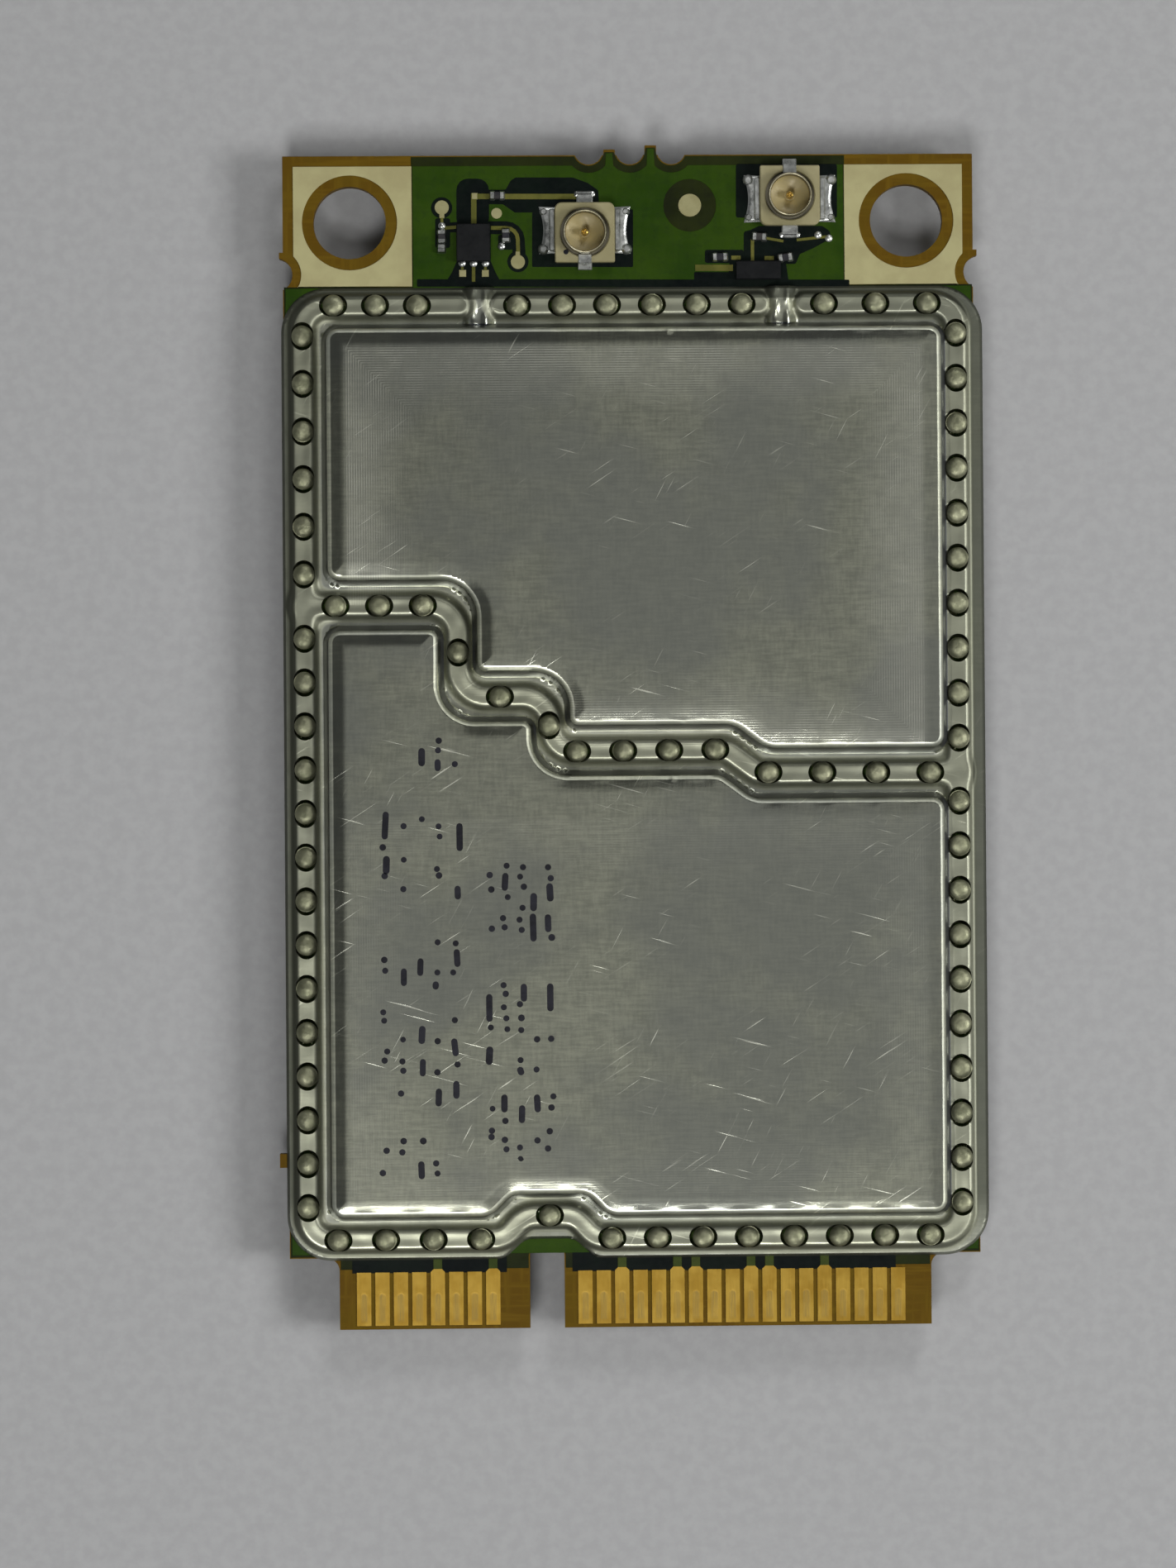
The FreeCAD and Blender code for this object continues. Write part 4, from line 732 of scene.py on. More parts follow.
def film_finish(name, cavities):
    """Tin-plated film: grey-olive sheen, rolled grain along X, lines of the forming tool, hairline scratches.

    The film's own fields say where it was formed. Its walls, flanks and ridge shoulders are duller and carry
    painted shade, a darker colour; the ridge tops are a warmer olive, and the crown is burnished just inside
    its edge.
    """
    f = Finish(name, (0.46, 0.47, 0.395), 1.0, 0.25)
    y = f.axes()[1]
    rim, ridge, edge, chamber = [f.node("ShaderNodeAttribute", attribute_name=field).outputs["Fac"]
                                 for field in ("rim", "ridge", "edge", "chamber")]
    lines, bands = tool_lines(f, cavities, chamber)
    scratches = scratched(f)
    cloud = f.noise(150.0, 4.0, 0.5)
    mottle = f.noise(1300.0, 4.0, 0.6)
    rolled = f.plus(f.times(f.grain((900, 7200, 1), roughness=0.6), 0.6),
                    f.times(f.grain((7200, 1200, 1), roughness=0.6), 0.4))

    top_side = (RIDGE_HALF - 0.06, RIDGE_HALF + 0.02)
    crown_side = (CROWN_EDGE, CROWN_EDGE + 0.08)
    # Painted shade: the walls get a dark slate colour in place of the dark that they reflect
    wall = f.times(f.between(rim, WALL_FOOT, WALL_FOOT + 0.05),
                   f.between(rim, WALL_TOP - 0.02, WALL_TOP - 0.07))
    # Painted shade: the outer flank of the flange is darkened, less along the near side by the tongue
    flank = f.times(f.between(edge, 0.60, 0.50), f.between(y, -0.0225, -0.0195, 0.4, 1.0))
    # Painted shade: the ridge's sloping shoulders are darkened
    shoulder = f.times(f.between(ridge, *top_side), f.between(ridge, 0.80, 0.68))
    ridge_top = f.between(ridge, *top_side[::-1])
    formed = f.between(rim, 0.2, 0.0)
    bright_edge = f.times(f.between(rim, WALL_TOP - 0.1, WALL_TOP), f.between(rim, *crown_side[::-1]))
    burnished = f.times(f.between(rim, *crown_side), f.between(rim, 0.62, 0.45))

    tone = f.plus(f.between(mottle, 0.3, 0.7, 0.0, 0.4), f.between(rolled, 0.38, 0.62, 0.0, 0.6))
    colour = f.blend(tone, (0.365, 0.375, 0.300), (0.54, 0.55, 0.43))
    for share, tint in ((f.between(cloud, 0.40, 0.62, 0.0, 0.6), (0.365, 0.38, 0.345)),
                        (f.between(lines, 0.0, 1.0, 0.0, 0.75, "LINEAR"), (0.82, 0.82, 0.72)),
                        (f.times(scratches, 0.75), (0.85, 0.85, 0.72)),
                        (f.times(bands, 0.3), (0.66, 0.66, 0.56)),
                        (f.times(ridge_top, 0.7), (0.44, 0.45, 0.325)),
                        # painted shade on the ridge shoulders
                        (f.times(shoulder, 0.65), (0.29, 0.295, 0.21)),
                        # painted shade on the walls
                        (f.times(wall, 0.9), (0.085, 0.09, 0.105)),
                        # painted shade on the flank
                        (f.times(flank, 0.88), (0.068, 0.072, 0.054))):
        colour = f.blend(share, colour, tint)
    rough = f.between(cloud, 0.38, 0.62, 0.195, 0.16)
    for where, more in ((bands, 0.065), (scratches, 0.12), (formed, 0.13), (bright_edge, 0.27),
                        (f.most(shoulder, flank), 0.26), (burnished, -0.06)):
        rough = f.plus(rough, f.times(where, more))
    relief = f.plus(f.times(lines, 0.5), rolled, f.times(mottle, 0.8), f.times(scratches, -0.5))
    return f.done(colour, rough, relief, 0.0022)


def solder_finish():
    """Dull reflowed solder: olive-grey with fine grain and a few shallow dents."""
    f = Finish("solder", (0.42, 0.42, 0.34), 1.0, 0.58)
    skin = f.noise(4200.0, 4.0)
    dents = f.noise(1700.0, 2.0)
    colour = f.blend(f.between(dents, 0.35, 0.65), (0.185, 0.19, 0.122), (0.275, 0.277, 0.186))
    return f.done(colour, f.between(skin, 0.3, 0.7, 0.46, 0.60), f.plus(skin, f.times(dents, 2.0)), 0.024)


def mask_finish(name, dark, light, gloss=0.36):
    """Solder mask: clouds between two greens, fine speckle, and the weave of the glass cloth under it."""
    f = Finish(name, light, 0.0, gloss, 0.08)
    cloud = f.noise(330.0, 4.0)
    speck = f.noise(4200.0, 2.0)
    weave = f.times(f.grain((2600, 500, 1), 1.0), f.grain((500, 2600, 1), 1.0))
    colour = f.blend(f.between(cloud, 0.36, 0.64), dark, light)
    colour = f.blend(f.between(speck, 0.5, 0.75, 0.0, 0.3), colour, tuple(0.55 * c for c in dark))
    colour = f.blend(f.between(weave, 0.2, 0.34, 0.0, 0.12), colour, tuple(1.5 * c for c in light))
    rough = f.between(speck, 0.3, 0.7, gloss - 0.05, gloss + 0.08)
    return f.done(colour, rough, f.plus(weave, f.times(cloud, 0.5)), 0.005)


def laminate_finish():
    """Bare glass laminate: amber brown with the cloth's crossing threads."""
    f = Finish("bare_laminate", (0.07, 0.034, 0.009), 0.0, 0.5, 0.05)
    threads = f.most(f.grain((3600, 300, 300), 2.0), f.grain((300, 3600, 300), 2.0))
    cloud = f.noise(500.0, 3.0)
    colour = f.blend(f.between(threads, 0.45, 0.7), (0.092, 0.050, 0.0035), (0.118, 0.068, 0.005))
    colour = f.blend(f.between(cloud, 0.4, 0.65, 0.0, 0.5), colour, (0.100, 0.064, 0.004))
    return f.done(colour, f.between(cloud, 0.3, 0.7, 0.42, 0.58), threads, 0.004)


def plated_finish(name, low, high, metallic, rough, size=3000.0, depth=0.006, gloss=0.5):
    """A skin with a fine grain of size repeats a metre, clouded between two colours."""
    f = Finish(name, high, metallic, rough, gloss)
    cloud = f.noise(size * 0.2, 4.0)
    grain = f.noise(size, 3.0)
    return f.done(f.blend(f.between(cloud, 0.35, 0.65), low, high),
                  f.between(grain, 0.3, 0.7, rough - 0.08, rough + 0.1), f.plus(grain, cloud), depth)


# The fingers: pitch, low end, and the first finger of the short and of the long row
FINGER_PITCH, FINGER_LOW = 0.8, 0.45
SHORT_ROW, LONG_ROW = -11.8, -2.2


def finger_finish(name, start):
    """Gold plate with a duller rubbed streak, round at its top, on the lower two thirds of each finger.

    Start is the place of the first finger. The streak is the stretch within 0.1 to 0.2 mm of a line up the
    finger's middle, 0.95 mm long, that wanders a little.
    """
    f = Finish(name, (0.45, 0.28, 0.05), 0.85, 0.34)
    x, y = f.axes()[:2]
    half = FINGER_PITCH / 2 * MM
    phase = f.reckon("PINGPONG", f.minus(x, start * MM - half), half)
    wander = f.times(f.minus(f.noise(700.0, 2.0), 0.5), 0.00010)
    off = f.plus(f.minus(half, phase), wander)
    length = f.minus(y, (FINGER_LOW - HALF_LENGTH) * MM)
    past_end = f.most(f.minus(length, 0.95 * MM), 0.0)
    reach = f.reckon("SQRT", f.plus(f.times(off, off), f.times(past_end, past_end)), 0.0)
    streak = f.times(f.between(reach, 0.00020, 0.00010), f.between(length, -0.0002, 0.0))
    rub = f.grain((16000, 900, 1), roughness=0.7)
    colour = f.blend(f.between(f.noise(900.0, 3.0), 0.35, 0.65), (0.330, 0.195, 0.024), (0.415, 0.262, 0.042))
    colour = f.blend(f.times(streak, f.between(rub, 0.3, 0.7, 0.3, 0.85)), colour, (0.22, 0.155, 0.042))
    rough = f.between(f.plus(rub, f.times(streak, 0.4)), 0.3, 1.1, 0.3, 0.46)
    return f.done(colour, rough, f.minus(f.times(rub, 0.5), streak), 0.002)


def paper_finish():
    """Pale grey table, lit only by the lamps and the sky."""
    f = Finish("table", (0.36, 0.36, 0.362), 0.0, 0.85, 0.1)
    grain = f.noise(1800.0, 3.0)
    return f.done(f.blend(f.between(grain, 0.3, 0.7), (0.345, 0.345, 0.347), (0.375, 0.375, 0.377)))


# Each cavity as left, right, low and high side in the CAD frame, and the strength of its tool lines
UPPER_CAVITIES = [(-13.03, 13.43, -1.0, 17.83, 1.0), (-13.03, 13.43, -20.45, -2.6, 0.22)]
LOWER_CAVITIES = [(-13.03, 13.43, -20.45, 17.83, 0.5)]
film_material = film_finish("shield_film", UPPER_CAVITIES)
lower_film_material = film_finish("lower_shield_film", LOWER_CAVITIES)
solder = solder_finish()
green_mask = mask_finish("mask_over_copper", (0.014, 0.037, 0.002), (0.023, 0.050, 0.003))
dark_mask = mask_finish("mask_over_laminate", (0.0015, 0.003, 0.003), (0.003, 0.006, 0.004))
border_mask = mask_finish("mask_border", (0.009, 0.012, 0.003), (0.016, 0.021, 0.004))
trace_olive = mask_finish("mask_over_trace", (0.075, 0.078, 0.016), (0.115, 0.11, 0.025))
neck_olive = mask_finish("mask_over_neck", (0.028, 0.042, 0.008), (0.050, 0.062, 0.014))
laminate = laminate_finish()
land = plated_finish("bare_land", (0.33, 0.295, 0.145), (0.39, 0.36, 0.18), 0.15, 0.5, 2500.0, gloss=0.3)
pad_gold = plated_finish("pad_gold", (0.255, 0.235, 0.11), (0.30, 0.28, 0.14), 0.2, 0.45, 5000.0, gloss=0.3)
silver = plated_finish("silver_plate", (0.36, 0.37, 0.35), (0.60, 0.61, 0.58), 1.0, 0.34, depth=0.016)
ring_silver = plated_finish("ring_plate", (0.22, 0.20, 0.13), (0.36, 0.33, 0.23), 0.9, 0.42, depth=0.010)
insulator = plated_finish("insulator", (0.24, 0.215, 0.11), (0.30, 0.27, 0.15), 0.0, 0.5, gloss=0.3)
# Painted shade for the floor of the receptacles' ring groove
groove_painted_shade = plated_finish("groove", (0.10, 0.09, 0.06), (0.16, 0.145, 0.10), 0.0, 0.5, gloss=0.3)
dish_gold = plated_finish("dish", (0.29, 0.235, 0.10), (0.335, 0.275, 0.125), 0.1, 0.45, depth=0.003)
pin_gold = plated_finish("pin_gold", (0.55, 0.36, 0.08), (0.72, 0.5, 0.14), 1.0, 0.3, 4000.0, 0.002)
chip_black = plated_finish("chip_black", (0.004, 0.0045, 0.005), (0.008, 0.0085, 0.009), 0.0, 0.5, 6000.0,
                           gloss=0.12)
ceramic = plated_finish("ceramic", (0.012, 0.012, 0.016), (0.03, 0.028, 0.026), 0.0, 0.45, 5000.0, gloss=0.3)
ink = plated_finish("ink", (0.004, 0.004, 0.007), (0.012, 0.012, 0.018), 0.0, 0.45, 5000.0, gloss=0.2)
contact_gold = finger_finish("contact_gold", SHORT_ROW)
contact_gold_under = finger_finish("contact_gold_under", SHORT_ROW + FINGER_PITCH / 2)


# Camera, lamps, sky and table

VIEW_WIDTH, DISTANCE, SENSOR = 68.217, 320.0, 36.0
VIEW_PLACE, VIEW_LEAN, VIEW_SHIFT = (-1.91, -1.865), (0.00768, -0.04072, -0.00776), (-0.19137, -0.03616)


def photo_camera():
    """Camera straight above the card, with the photograph's small lean. It sees VIEW_WIDTH mm across."""
    data = bpy.data.cameras.new("camera")
    data.sensor_width = SENSOR
    data.lens = SENSOR * DISTANCE / VIEW_WIDTH
    data.clip_start = 0.01
    data.clip_end = 10.0
    data.shift_x, data.shift_y = VIEW_SHIFT
    camera = bpy.data.objects.new("camera", data)
    camera.location = [place * MM for place in (*VIEW_PLACE, DISTANCE + BOARD_TOP)]
    camera.rotation_euler = VIEW_LEAN
    bpy.context.scene.collection.objects.link(camera)
    bpy.context.scene.camera = camera


def lamp(name, azimuth, elevation, share, side, distance=0.5):
    """Square soft lamp aimed at the card. Its power, pi^2 d^2 share / sin, gives its share of the light."""
    data = bpy.data.lights.new(name, "AREA")
    data.shape = "SQUARE"
    data.size = side
    data.energy = math.pi ** 2 * distance ** 2 * share / math.sin(math.radians(elevation))
    item = bpy.data.objects.new(name, data)
    a, e = math.radians(azimuth), math.radians(elevation)
    way = Vector((math.cos(a) * math.cos(e), math.sin(a) * math.cos(e), math.sin(e)))
    item.location = way * distance
    item.rotation_mode = "QUATERNION"
    item.rotation_quaternion = way.to_track_quat("Z", "Y")
    bpy.context.scene.collection.objects.link(item)


SKY, HAZE = 0.08, 0.17
HAZE_TOP, HAZE_FULL = 0.70, 0.35


def studio_sky():
    """An even sky. Metal also sees a paler haze, which grows from HAZE_TOP down to HAZE_FULL (sines)."""
    world = bpy.data.worlds.new("sky")
    world.use_nodes = True
    background = world.node_tree.nodes["Background"]
    background.inputs["Color"].default_value = (0.96, 0.99, 1.0, 1)
    nodes, links = world.node_tree.nodes, world.node_tree.links
    way = nodes.new("ShaderNodeSeparateXYZ")
    links.new(nodes.new("ShaderNodeTexCoord").outputs["Generated"], way.inputs[0])
    haze = nodes.new("ShaderNodeMapRange")
    haze.interpolation_type = "SMOOTHSTEP"
    for key, number in (("From Min", HAZE_TOP), ("From Max", HAZE_FULL), ("To Min", 0.0), ("To Max", HAZE)):
        haze.inputs[key].default_value = number
    links.new(way.outputs["Z"], haze.inputs["Value"])
    light = nodes.new("ShaderNodeMath")
    light.operation = "MULTIPLY_ADD"
    light.inputs[2].default_value = SKY
    links.new(haze.outputs[0], light.inputs[0])
    links.new(nodes.new("ShaderNodeLightPath").outputs["Is Glossy Ray"], light.inputs[1])
    links.new(light.outputs[0], background.inputs["Strength"])
    bpy.context.scene.world = world


def pale_table(reach=1.5):
    mesh = bpy.data.meshes.new("table")
    mesh.from_pydata([(-reach, -reach, 0), (reach, -reach, 0), (reach, reach, 0), (-reach, reach, 0)], [],
                     [(0, 1, 2, 3)])
    mesh.materials.append(paper_finish())
    table = bpy.data.objects.new("table", mesh)
    bpy.context.scene.collection.objects.link(table)


photo_camera()
lamp("right_lamp", -6, 41, 0.37, 0.16)
lamp("near_lamp", -104, 62, 0.39, 0.16)
lamp("far_lamp", 72, 45, 0.15, 0.14)
lamp("ceiling", -34, 76, 0.034, 0.42, 0.6)
studio_sky()
bpy.context.scene.view_settings.view_transform = "Standard"
pale_table()

# Shields and solder balls


def between_feeds(path, row_y, step=0.25, gap=0.86):
    """The closed ridge line cut open where it passes an antenna feed, as open runs.

    It is laid out in short steps, those nearer to a feed than the gap are dropped, and of the others only
    the turns are kept.
    """
    dense = []
    for a, b in zip(path, np.roll(path, -1, 0)):
        steps = max(1, int(np.linalg.norm(b - a) / step))
        dense += [a + (b - a) * k / steps for k in range(steps)]
    dense = np.array(dense)
    keep = np.ones(len(dense), bool)
    for x in FEEDS:
        keep &= ~((np.abs(dense[:, 0] - x) < gap) & (np.abs(dense[:, 1] - row_y) < 0.5))
    first = int(np.argmin(keep))
    dense, keep = np.roll(dense, -first, 0), np.roll(keep, -first)
    changes = np.flatnonzero(keep[1:] != keep[:-1]) + 1
    return [turning_points(run) for start, run in zip([0, *changes], np.split(dense, changes)) if keep[start]]


def shield(name, film, cell, lift, finish, node, below=False):
    """One formed film over its side of the board."""
    points, faces, fields, crease = film_mesh(film, cell)
    form = flipped((points, faces)) if below else (points, faces)
    make_piece(name, form, lift, finish, [node], sharp=65, fields=fields, crease=crease)


ring = outline(RING)
upper_lines = between_feeds(ring, FAR - HALF_LENGTH) + [outline(DIVIDER, False)]
upper_film = Film([UPPER_RIM, LOWER_RIM], UPPER_HEIGHT, upper_lines, UPPER_BALLS, FEEDS)
lower_film = Film([SINGLE_RIM], LOWER_HEIGHT, [np.vstack([ring, ring[:1]])], LOWER_BALLS, ())
shield("upper_shield_film", upper_film, 0.08, BOARD_TOP, film_material, "upper_shield")
shield("lower_shield_film", lower_film, 0.16, BOARD_LOW, lower_film_material, "lower_shield", below=True)

BALL_RADIUS = 0.465
CROWN_SHARES = np.array([1.0, 0.94, 0.83, 0.68, 0.5, 0.28, 0.0])
BALL_FOOT = [(0.0, 0.0), (0.38, 0.0), (0.445, 0.2), (BALL_RADIUS, 0.44)]


def ball(x, y, sides=22):
    """Solder ball pressed and scuffed on top: crown z = 0.71 - 0.11 s^2 - 0.10 s^6, s = r / BALL_RADIUS."""
    crown = 0.71 - 0.11 * CROWN_SHARES ** 2 - 0.10 * CROWN_SHARES ** 6
    profile = BALL_FOOT + list(zip(BALL_RADIUS * CROWN_SHARES, crown))
    points, faces = lathe(profile, x, y, sides, rng.uniform(0, 0.3))
    lean = rng.normal(0, 0.06, 2)
    points[:, 2] += np.where(points[:, 2] > 0.5, (points[:, :2] - (x, y)) @ lean, 0)
    points[:, 2] = np.minimum(points[:, 2], 0.8)
    return points, faces


upper = merge([ball(x, y) for x, y, angle in UPPER_BALLS])
make_piece("upper_balls", upper, BOARD_TOP, solder, ["solder_balls_upper"])
lower = merge([ball(x, y) for x, y, angle in LOWER_BALLS])
make_piece("lower_balls", flipped(lower), BOARD_LOW, solder, ["solder_balls_lower"])

# Board: bare laminate with solder mask, copper under it, and plated lands

BITE_X, BITE_Y, BITE_PITCH = 0.09, 51.16, 1.795
BITES = [BITE_X + BITE_PITCH * k for k in (-1, 0, 1)]
MASK = 0.018
POUR = 0.034
KEY_MIDDLE = -3.85
# Sides of the mask: its half width, the step beside the far strip, its low edge and the tongue's shoulder
MASK_SIDE, STRIP_SIDE, STEP_Y, MASK_LOW, SHOULDER_Y, TONGUE_SIDE = 14.96, 9.42, 45.26, 2.6, 3.15, 12.8


def far_edge(side, y, radius, tooth, tops):
    """Points along the far edge, from side to side, down round the three bites and up over the two teeth."""
    points = [(-side, y)]
    half = math.acos((BITE_Y - y) / radius)
    for number, x in enumerate(BITES):
        points += [(x + radius * math.sin(t), BITE_Y - radius * math.cos(t))
                   for t in np.linspace(-half, half, 11)]
        if number < len(tops):
            middle = x + BITE_PITCH / 2
            points += [(middle - tooth, tops[number]), (middle + tooth, tops[number])]
    return points + [(side, y)]


def key_notch(width, top):
    """Points round the key slot from left to right, open towards the tongue edge."""
    arch = [(KEY_MIDDLE + width * math.cos(t), top + width * math.sin(t)) for t in np.linspace(math.pi, 0, 9)]
    return [(KEY_MIDDLE - width, MASK_LOW), *arch, (KEY_MIDDLE + width, MASK_LOW)]


def both_sides(right):
    """Points down the right side, and before them the same points up the left side."""
    return [(-x, y) for x, y in right[::-1]], right


left, right = both_sides([(STRIP_SIDE, STEP_Y), (MASK_SIDE, STEP_Y), (MASK_SIDE, SHOULDER_Y),
                          (TONGUE_SIDE, SHOULDER_Y)])
mask_edge = (left + far_edge(STRIP_SIDE, 50.9, 0.67, 0.2, (51.08, 51.27)) + right
             + [(TONGUE_SIDE, MASK_LOW)] + key_notch(0.8, SHOULDER_Y)[::-1] + [(-TONGUE_SIDE, MASK_LOW)])
left, right = both_sides([(9.36, 45.2), (14.9, 45.2), (14.9, 3.25)])
pour_edge = left + far_edge(9.36, 50.5, 0.98, 0.14, (51.04, 51.23)) + right
fiducial = spots([834.5, 248.0])

make_piece("top_mask", plate(card(mask_edge), 0, MASK), BOARD_TOP, border_mask)
make_piece("top_copper_pour", plate(card(pour_edge), MASK, POUR, [disc_path(*fiducial, 1.145)]), BOARD_TOP,
           green_mask)


def gap(pixels, radius=0.12):
    """A patch without copper, given by corners in the photograph."""
    return rounded([(x, y, radius) for x, y in spots(pixels)], turn=20)


def gap_box(x0, y0, x1, y1, radius=0.1):
    return gap([(x0, y0), (x1, y0), (x1, y1), (x0, y1)], radius)


def trace(width, *pixels, bend=0.3):
    """A line of the given width in millimetres through places in the photograph."""
    return stroke(spots(pixels), width, bend)


def spot_disc(x, y, radius, sides=28):
    return disc_path(*spots([x, y]), radius, sides)


GAPS = [
    gap_box(552.5, 216, 592, 278, 0.5),
    gap([(585, 229.5), (612, 229.5), (618, 218.5), (624, 214.5), (693, 214.5), (711, 221), (724, 230),
         (725, 247), (585, 247)]),
    gap([(600, 241), (700, 241), (700, 257), (623, 257)]),
    gap([(553, 268), (594, 268), (594, 316), (600, 330), (607, 343), (539, 343), (547, 330), (553, 316)]),
    gap([(644, 257), (742, 257), (742, 253), (766, 253), (766, 323), (644, 323)], 0.05),
    gap_box(890.5, 198, 1013, 263),
    gap([(900, 280), (908, 278), (919, 273), (995, 273), (1004, 279), (1006, 288), (984, 300), (968, 307),
         (963, 319), (900, 319)]),
    gap([(883, 316), (951, 316), (955, 345), (880, 345)], 0.1),
    gap_box(853, 302, 900, 318),
    gap_box(527, 264, 545, 300),
    gap([(541, 269.5), (556, 268.5), (556, 281), (541, 281)], 0.05),
    gap_box(603, 284, 621, 302),
    trace(0.56, (592, 275.5), (626.5, 275.5), (628.5, 312), bend=0.55),
    spot_disc(534.8, 251.4, 0.46),
    spot_disc(626.9, 316.5, 0.46),
    gap_box(840, 329, 890, 345, 0.05),
    gap_box(505, 338, 1028, 347, 0.05),
]
TRACES = [
    trace(0.24, (573.5, 278), (573.5, 237.5), (594, 237.5), bend=0.05),
    trace(0.24, (610, 237.6), (700, 237.6)),
    trace(0.15, (573.2, 322), (573.2, 341)),
    trace(0.12, (559.5, 320), (559.7, 331)),
    trace(0.12, (587.7, 320), (587.3, 331)),
    trace(0.15, (537, 276), (560, 274.2)),
    trace(0.17, (594, 275.7), (626.3, 275.7), (627.3, 313), bend=0.5),
    trace(0.12, (534.9, 262), (535.1, 270)),
    trace(0.15, (910.5, 289), (910.5, 318)),
    trace(0.12, (926, 287.5), (948, 291.5)),
    trace(0.12, (964, 290), (1000, 286)),
    trace(0.28, (841, 323.8), (887, 323.8)),
    trace(0.18, (884.8, 311.5), (896.3, 311.5)),
    trace(0.18, (925, 312), (936.4, 312)),
]


def layers(paths, low, high, rise, ease):
    """A plate over each outline, each a hair off the one before in height, so that no two tops coincide."""
    return merge([plate(path, low, high + rise * k, ease=ease) for k, path in enumerate(paths)])


bare_patches = layers(GAPS, POUR - 0.006, POUR + 0.003, 0.0008, 0.001)
make_piece("copper_gaps", bare_patches, BOARD_TOP, dark_mask, sharp=10)
wires = layers(TRACES, POUR, POUR + 0.024, 0.0005, 0.01)
make_piece("signal_traces", wires, BOARD_TOP, trace_olive)

# Lands round the screw holes, notched round the side bites
LAND_LOW, LAND_FAR, LAND_INNER, LAND_OUTER = 45.27, 50.5, 9.4, 14.55
SIDE_BITE, NOTCH = (15.32, 45.8), 1.11


def screw_land(side):
    """Land round the screw hole on the left, -1, or on the right, 1."""
    arc = [(SIDE_BITE[0] + NOTCH * math.cos(t), SIDE_BITE[1] + NOTCH * math.sin(t))
           for t in np.linspace(math.radians(134), math.radians(209), 10)]
    edge = [(LAND_INNER, LAND_LOW), (LAND_INNER, LAND_FAR), (LAND_OUTER, LAND_FAR)]
    edge += [p for p in arc if p[1] >= LAND_LOW - 0.01] + [(SIDE_BITE[0] - 0.97, LAND_LOW)]
    hole = disc_path(side * HOLE_X, HOLE_Y - HALF_LENGTH, 2.06, 56)
    return plate(card([(side * x, y) for x, y in edge]), 0, 0.04, [hole])


lands = merge([screw_land(side) for side in (-1, 1)])
lands = merge([raised(lands, BOARD_TOP), raised(flipped(lands), BOARD_LOW)])
make_piece("screw_lands", lands, 0, land, ["mounting_pads"])

# Bare test points, the fiducial disc and the bare ends of traces
PADS = [
    spot_disc(534.8, 251.0, 0.31),
    spot_disc(626.7, 316.8, 0.31),
    spot_disc(601.0, 258.0, 0.235),
    disc_path(*fiducial, 0.5, 40),
    trace(0.3, (560.0, 326.5), (560.0, 335.0)),
    trace(0.3, (587.4, 326.5), (587.4, 335.0)),
    trace(0.22, (534.8, 255), (535, 264)),
    trace(0.2, (626.7, 313), (626.7, 304)),
    trace(0.28, (571, 237.2), (578, 237.2)),
]
pads = layers(PADS, MASK - 0.004, 0.064, -0.0004, 0.015)
make_piece("test_points", pads, BOARD_TOP, pad_gold, ["test_pads"])

# The mask between shield and fingers: bare of copper but for the necks of the ground fingers
BAND_SIDES = ((-12.3, -5.6), (-2.75, 11.3))
GROUND_FINGERS = ([SHORT_ROW + FINGER_PITCH * k for k in (4, 7)]
                  + [LONG_ROW + FINGER_PITCH * k for k in (2, 5, 6, 9, 10, 13)])
NECK_HALF = 0.19
bands = [box_path(x0, 2.44, x1, 3.3) - (0, HALF_LENGTH) for x0, x1 in BAND_SIDES]
bands = layers(bands, -0.004, 0.030, 0.0004, 0.003)
make_piece("edge_band", bands, BOARD_TOP, dark_mask, sharp=10)
necks = [box_path(x - NECK_HALF, 2.6, x + NECK_HALF, 3.35) - (0, HALF_LENGTH) for x in GROUND_FINGERS]
make_piece("ground_necks", layers(necks, 0.03, 0.056, 0, 0.01), BOARD_TOP, neck_olive)

# Underside: the same mask, without receptacles
make_piece("under_mask", flipped(plate(card(mask_edge), 0, MASK)), BOARD_LOW, green_mask)

# Antenna receptacles: profiles (radius, height over the board) of the turned parts, then the feet on the
# middle line as boxes with their levels: back foot, folded tab, signal foot and its solder joint
LIP = [(0.898 + 0.047 * math.cos(t), 1.19 + 0.05 * math.sin(t)) for t in np.linspace(0, math.pi, 7)]
RECEPTACLE_RING = [(0.945, 0.42), *LIP, (0.85, 0.42), (0.945, 0.42)]
# The groove's floor: a thin dark ring of painted shade in the recess
GROOVE_SHADE_RING = [(0.93, 0.45), (1.075, 0.45), (1.075, 0.475), (0.93, 0.475), (0.93, 0.45)]
DISH = [(0.0, 0.2), (0.86, 0.2), (0.86, 0.62), (0.83, 0.56), (0.62, 0.43), (0.3, 0.385), (0.23, 0.34),
        (0.0, 0.34)]
PIN = [(0.0, 0.2), (0.17, 0.2), (0.16, 0.75), (0.14, 0.86), (0.08, 0.9), (0.05, 0.86), (0.0, 0.85)]
GATE = [(0.0, 0.62), (0.12, 0.62), (0.11, 0.634), (0.0, 0.634)]
MIDDLE_FEET = [((-0.31, -1.62, 0.31, -1.2, 0.05), [(0, 0.0), (0, 0.1), (0.03, 0.14)]),
               ((-0.29, -1.36, 0.29, -0.95, 0.05), [(0, 0.5), (0, 0.64), (0.03, 0.67)]),
               ((-0.35, 1.25, 0.35, 1.8, 0.05), [(0, 0.0), (0, 0.09), (0.05, 0.13)]),
               ((-0.5, 1.52, 0.5, 1.86, 0.15), [(0, 0.0), (0.06, 0.09), (0.15, 0.13)])]
MAIN, DIVERSITY = (-1.89, 47.56), (7.03, 49.13)


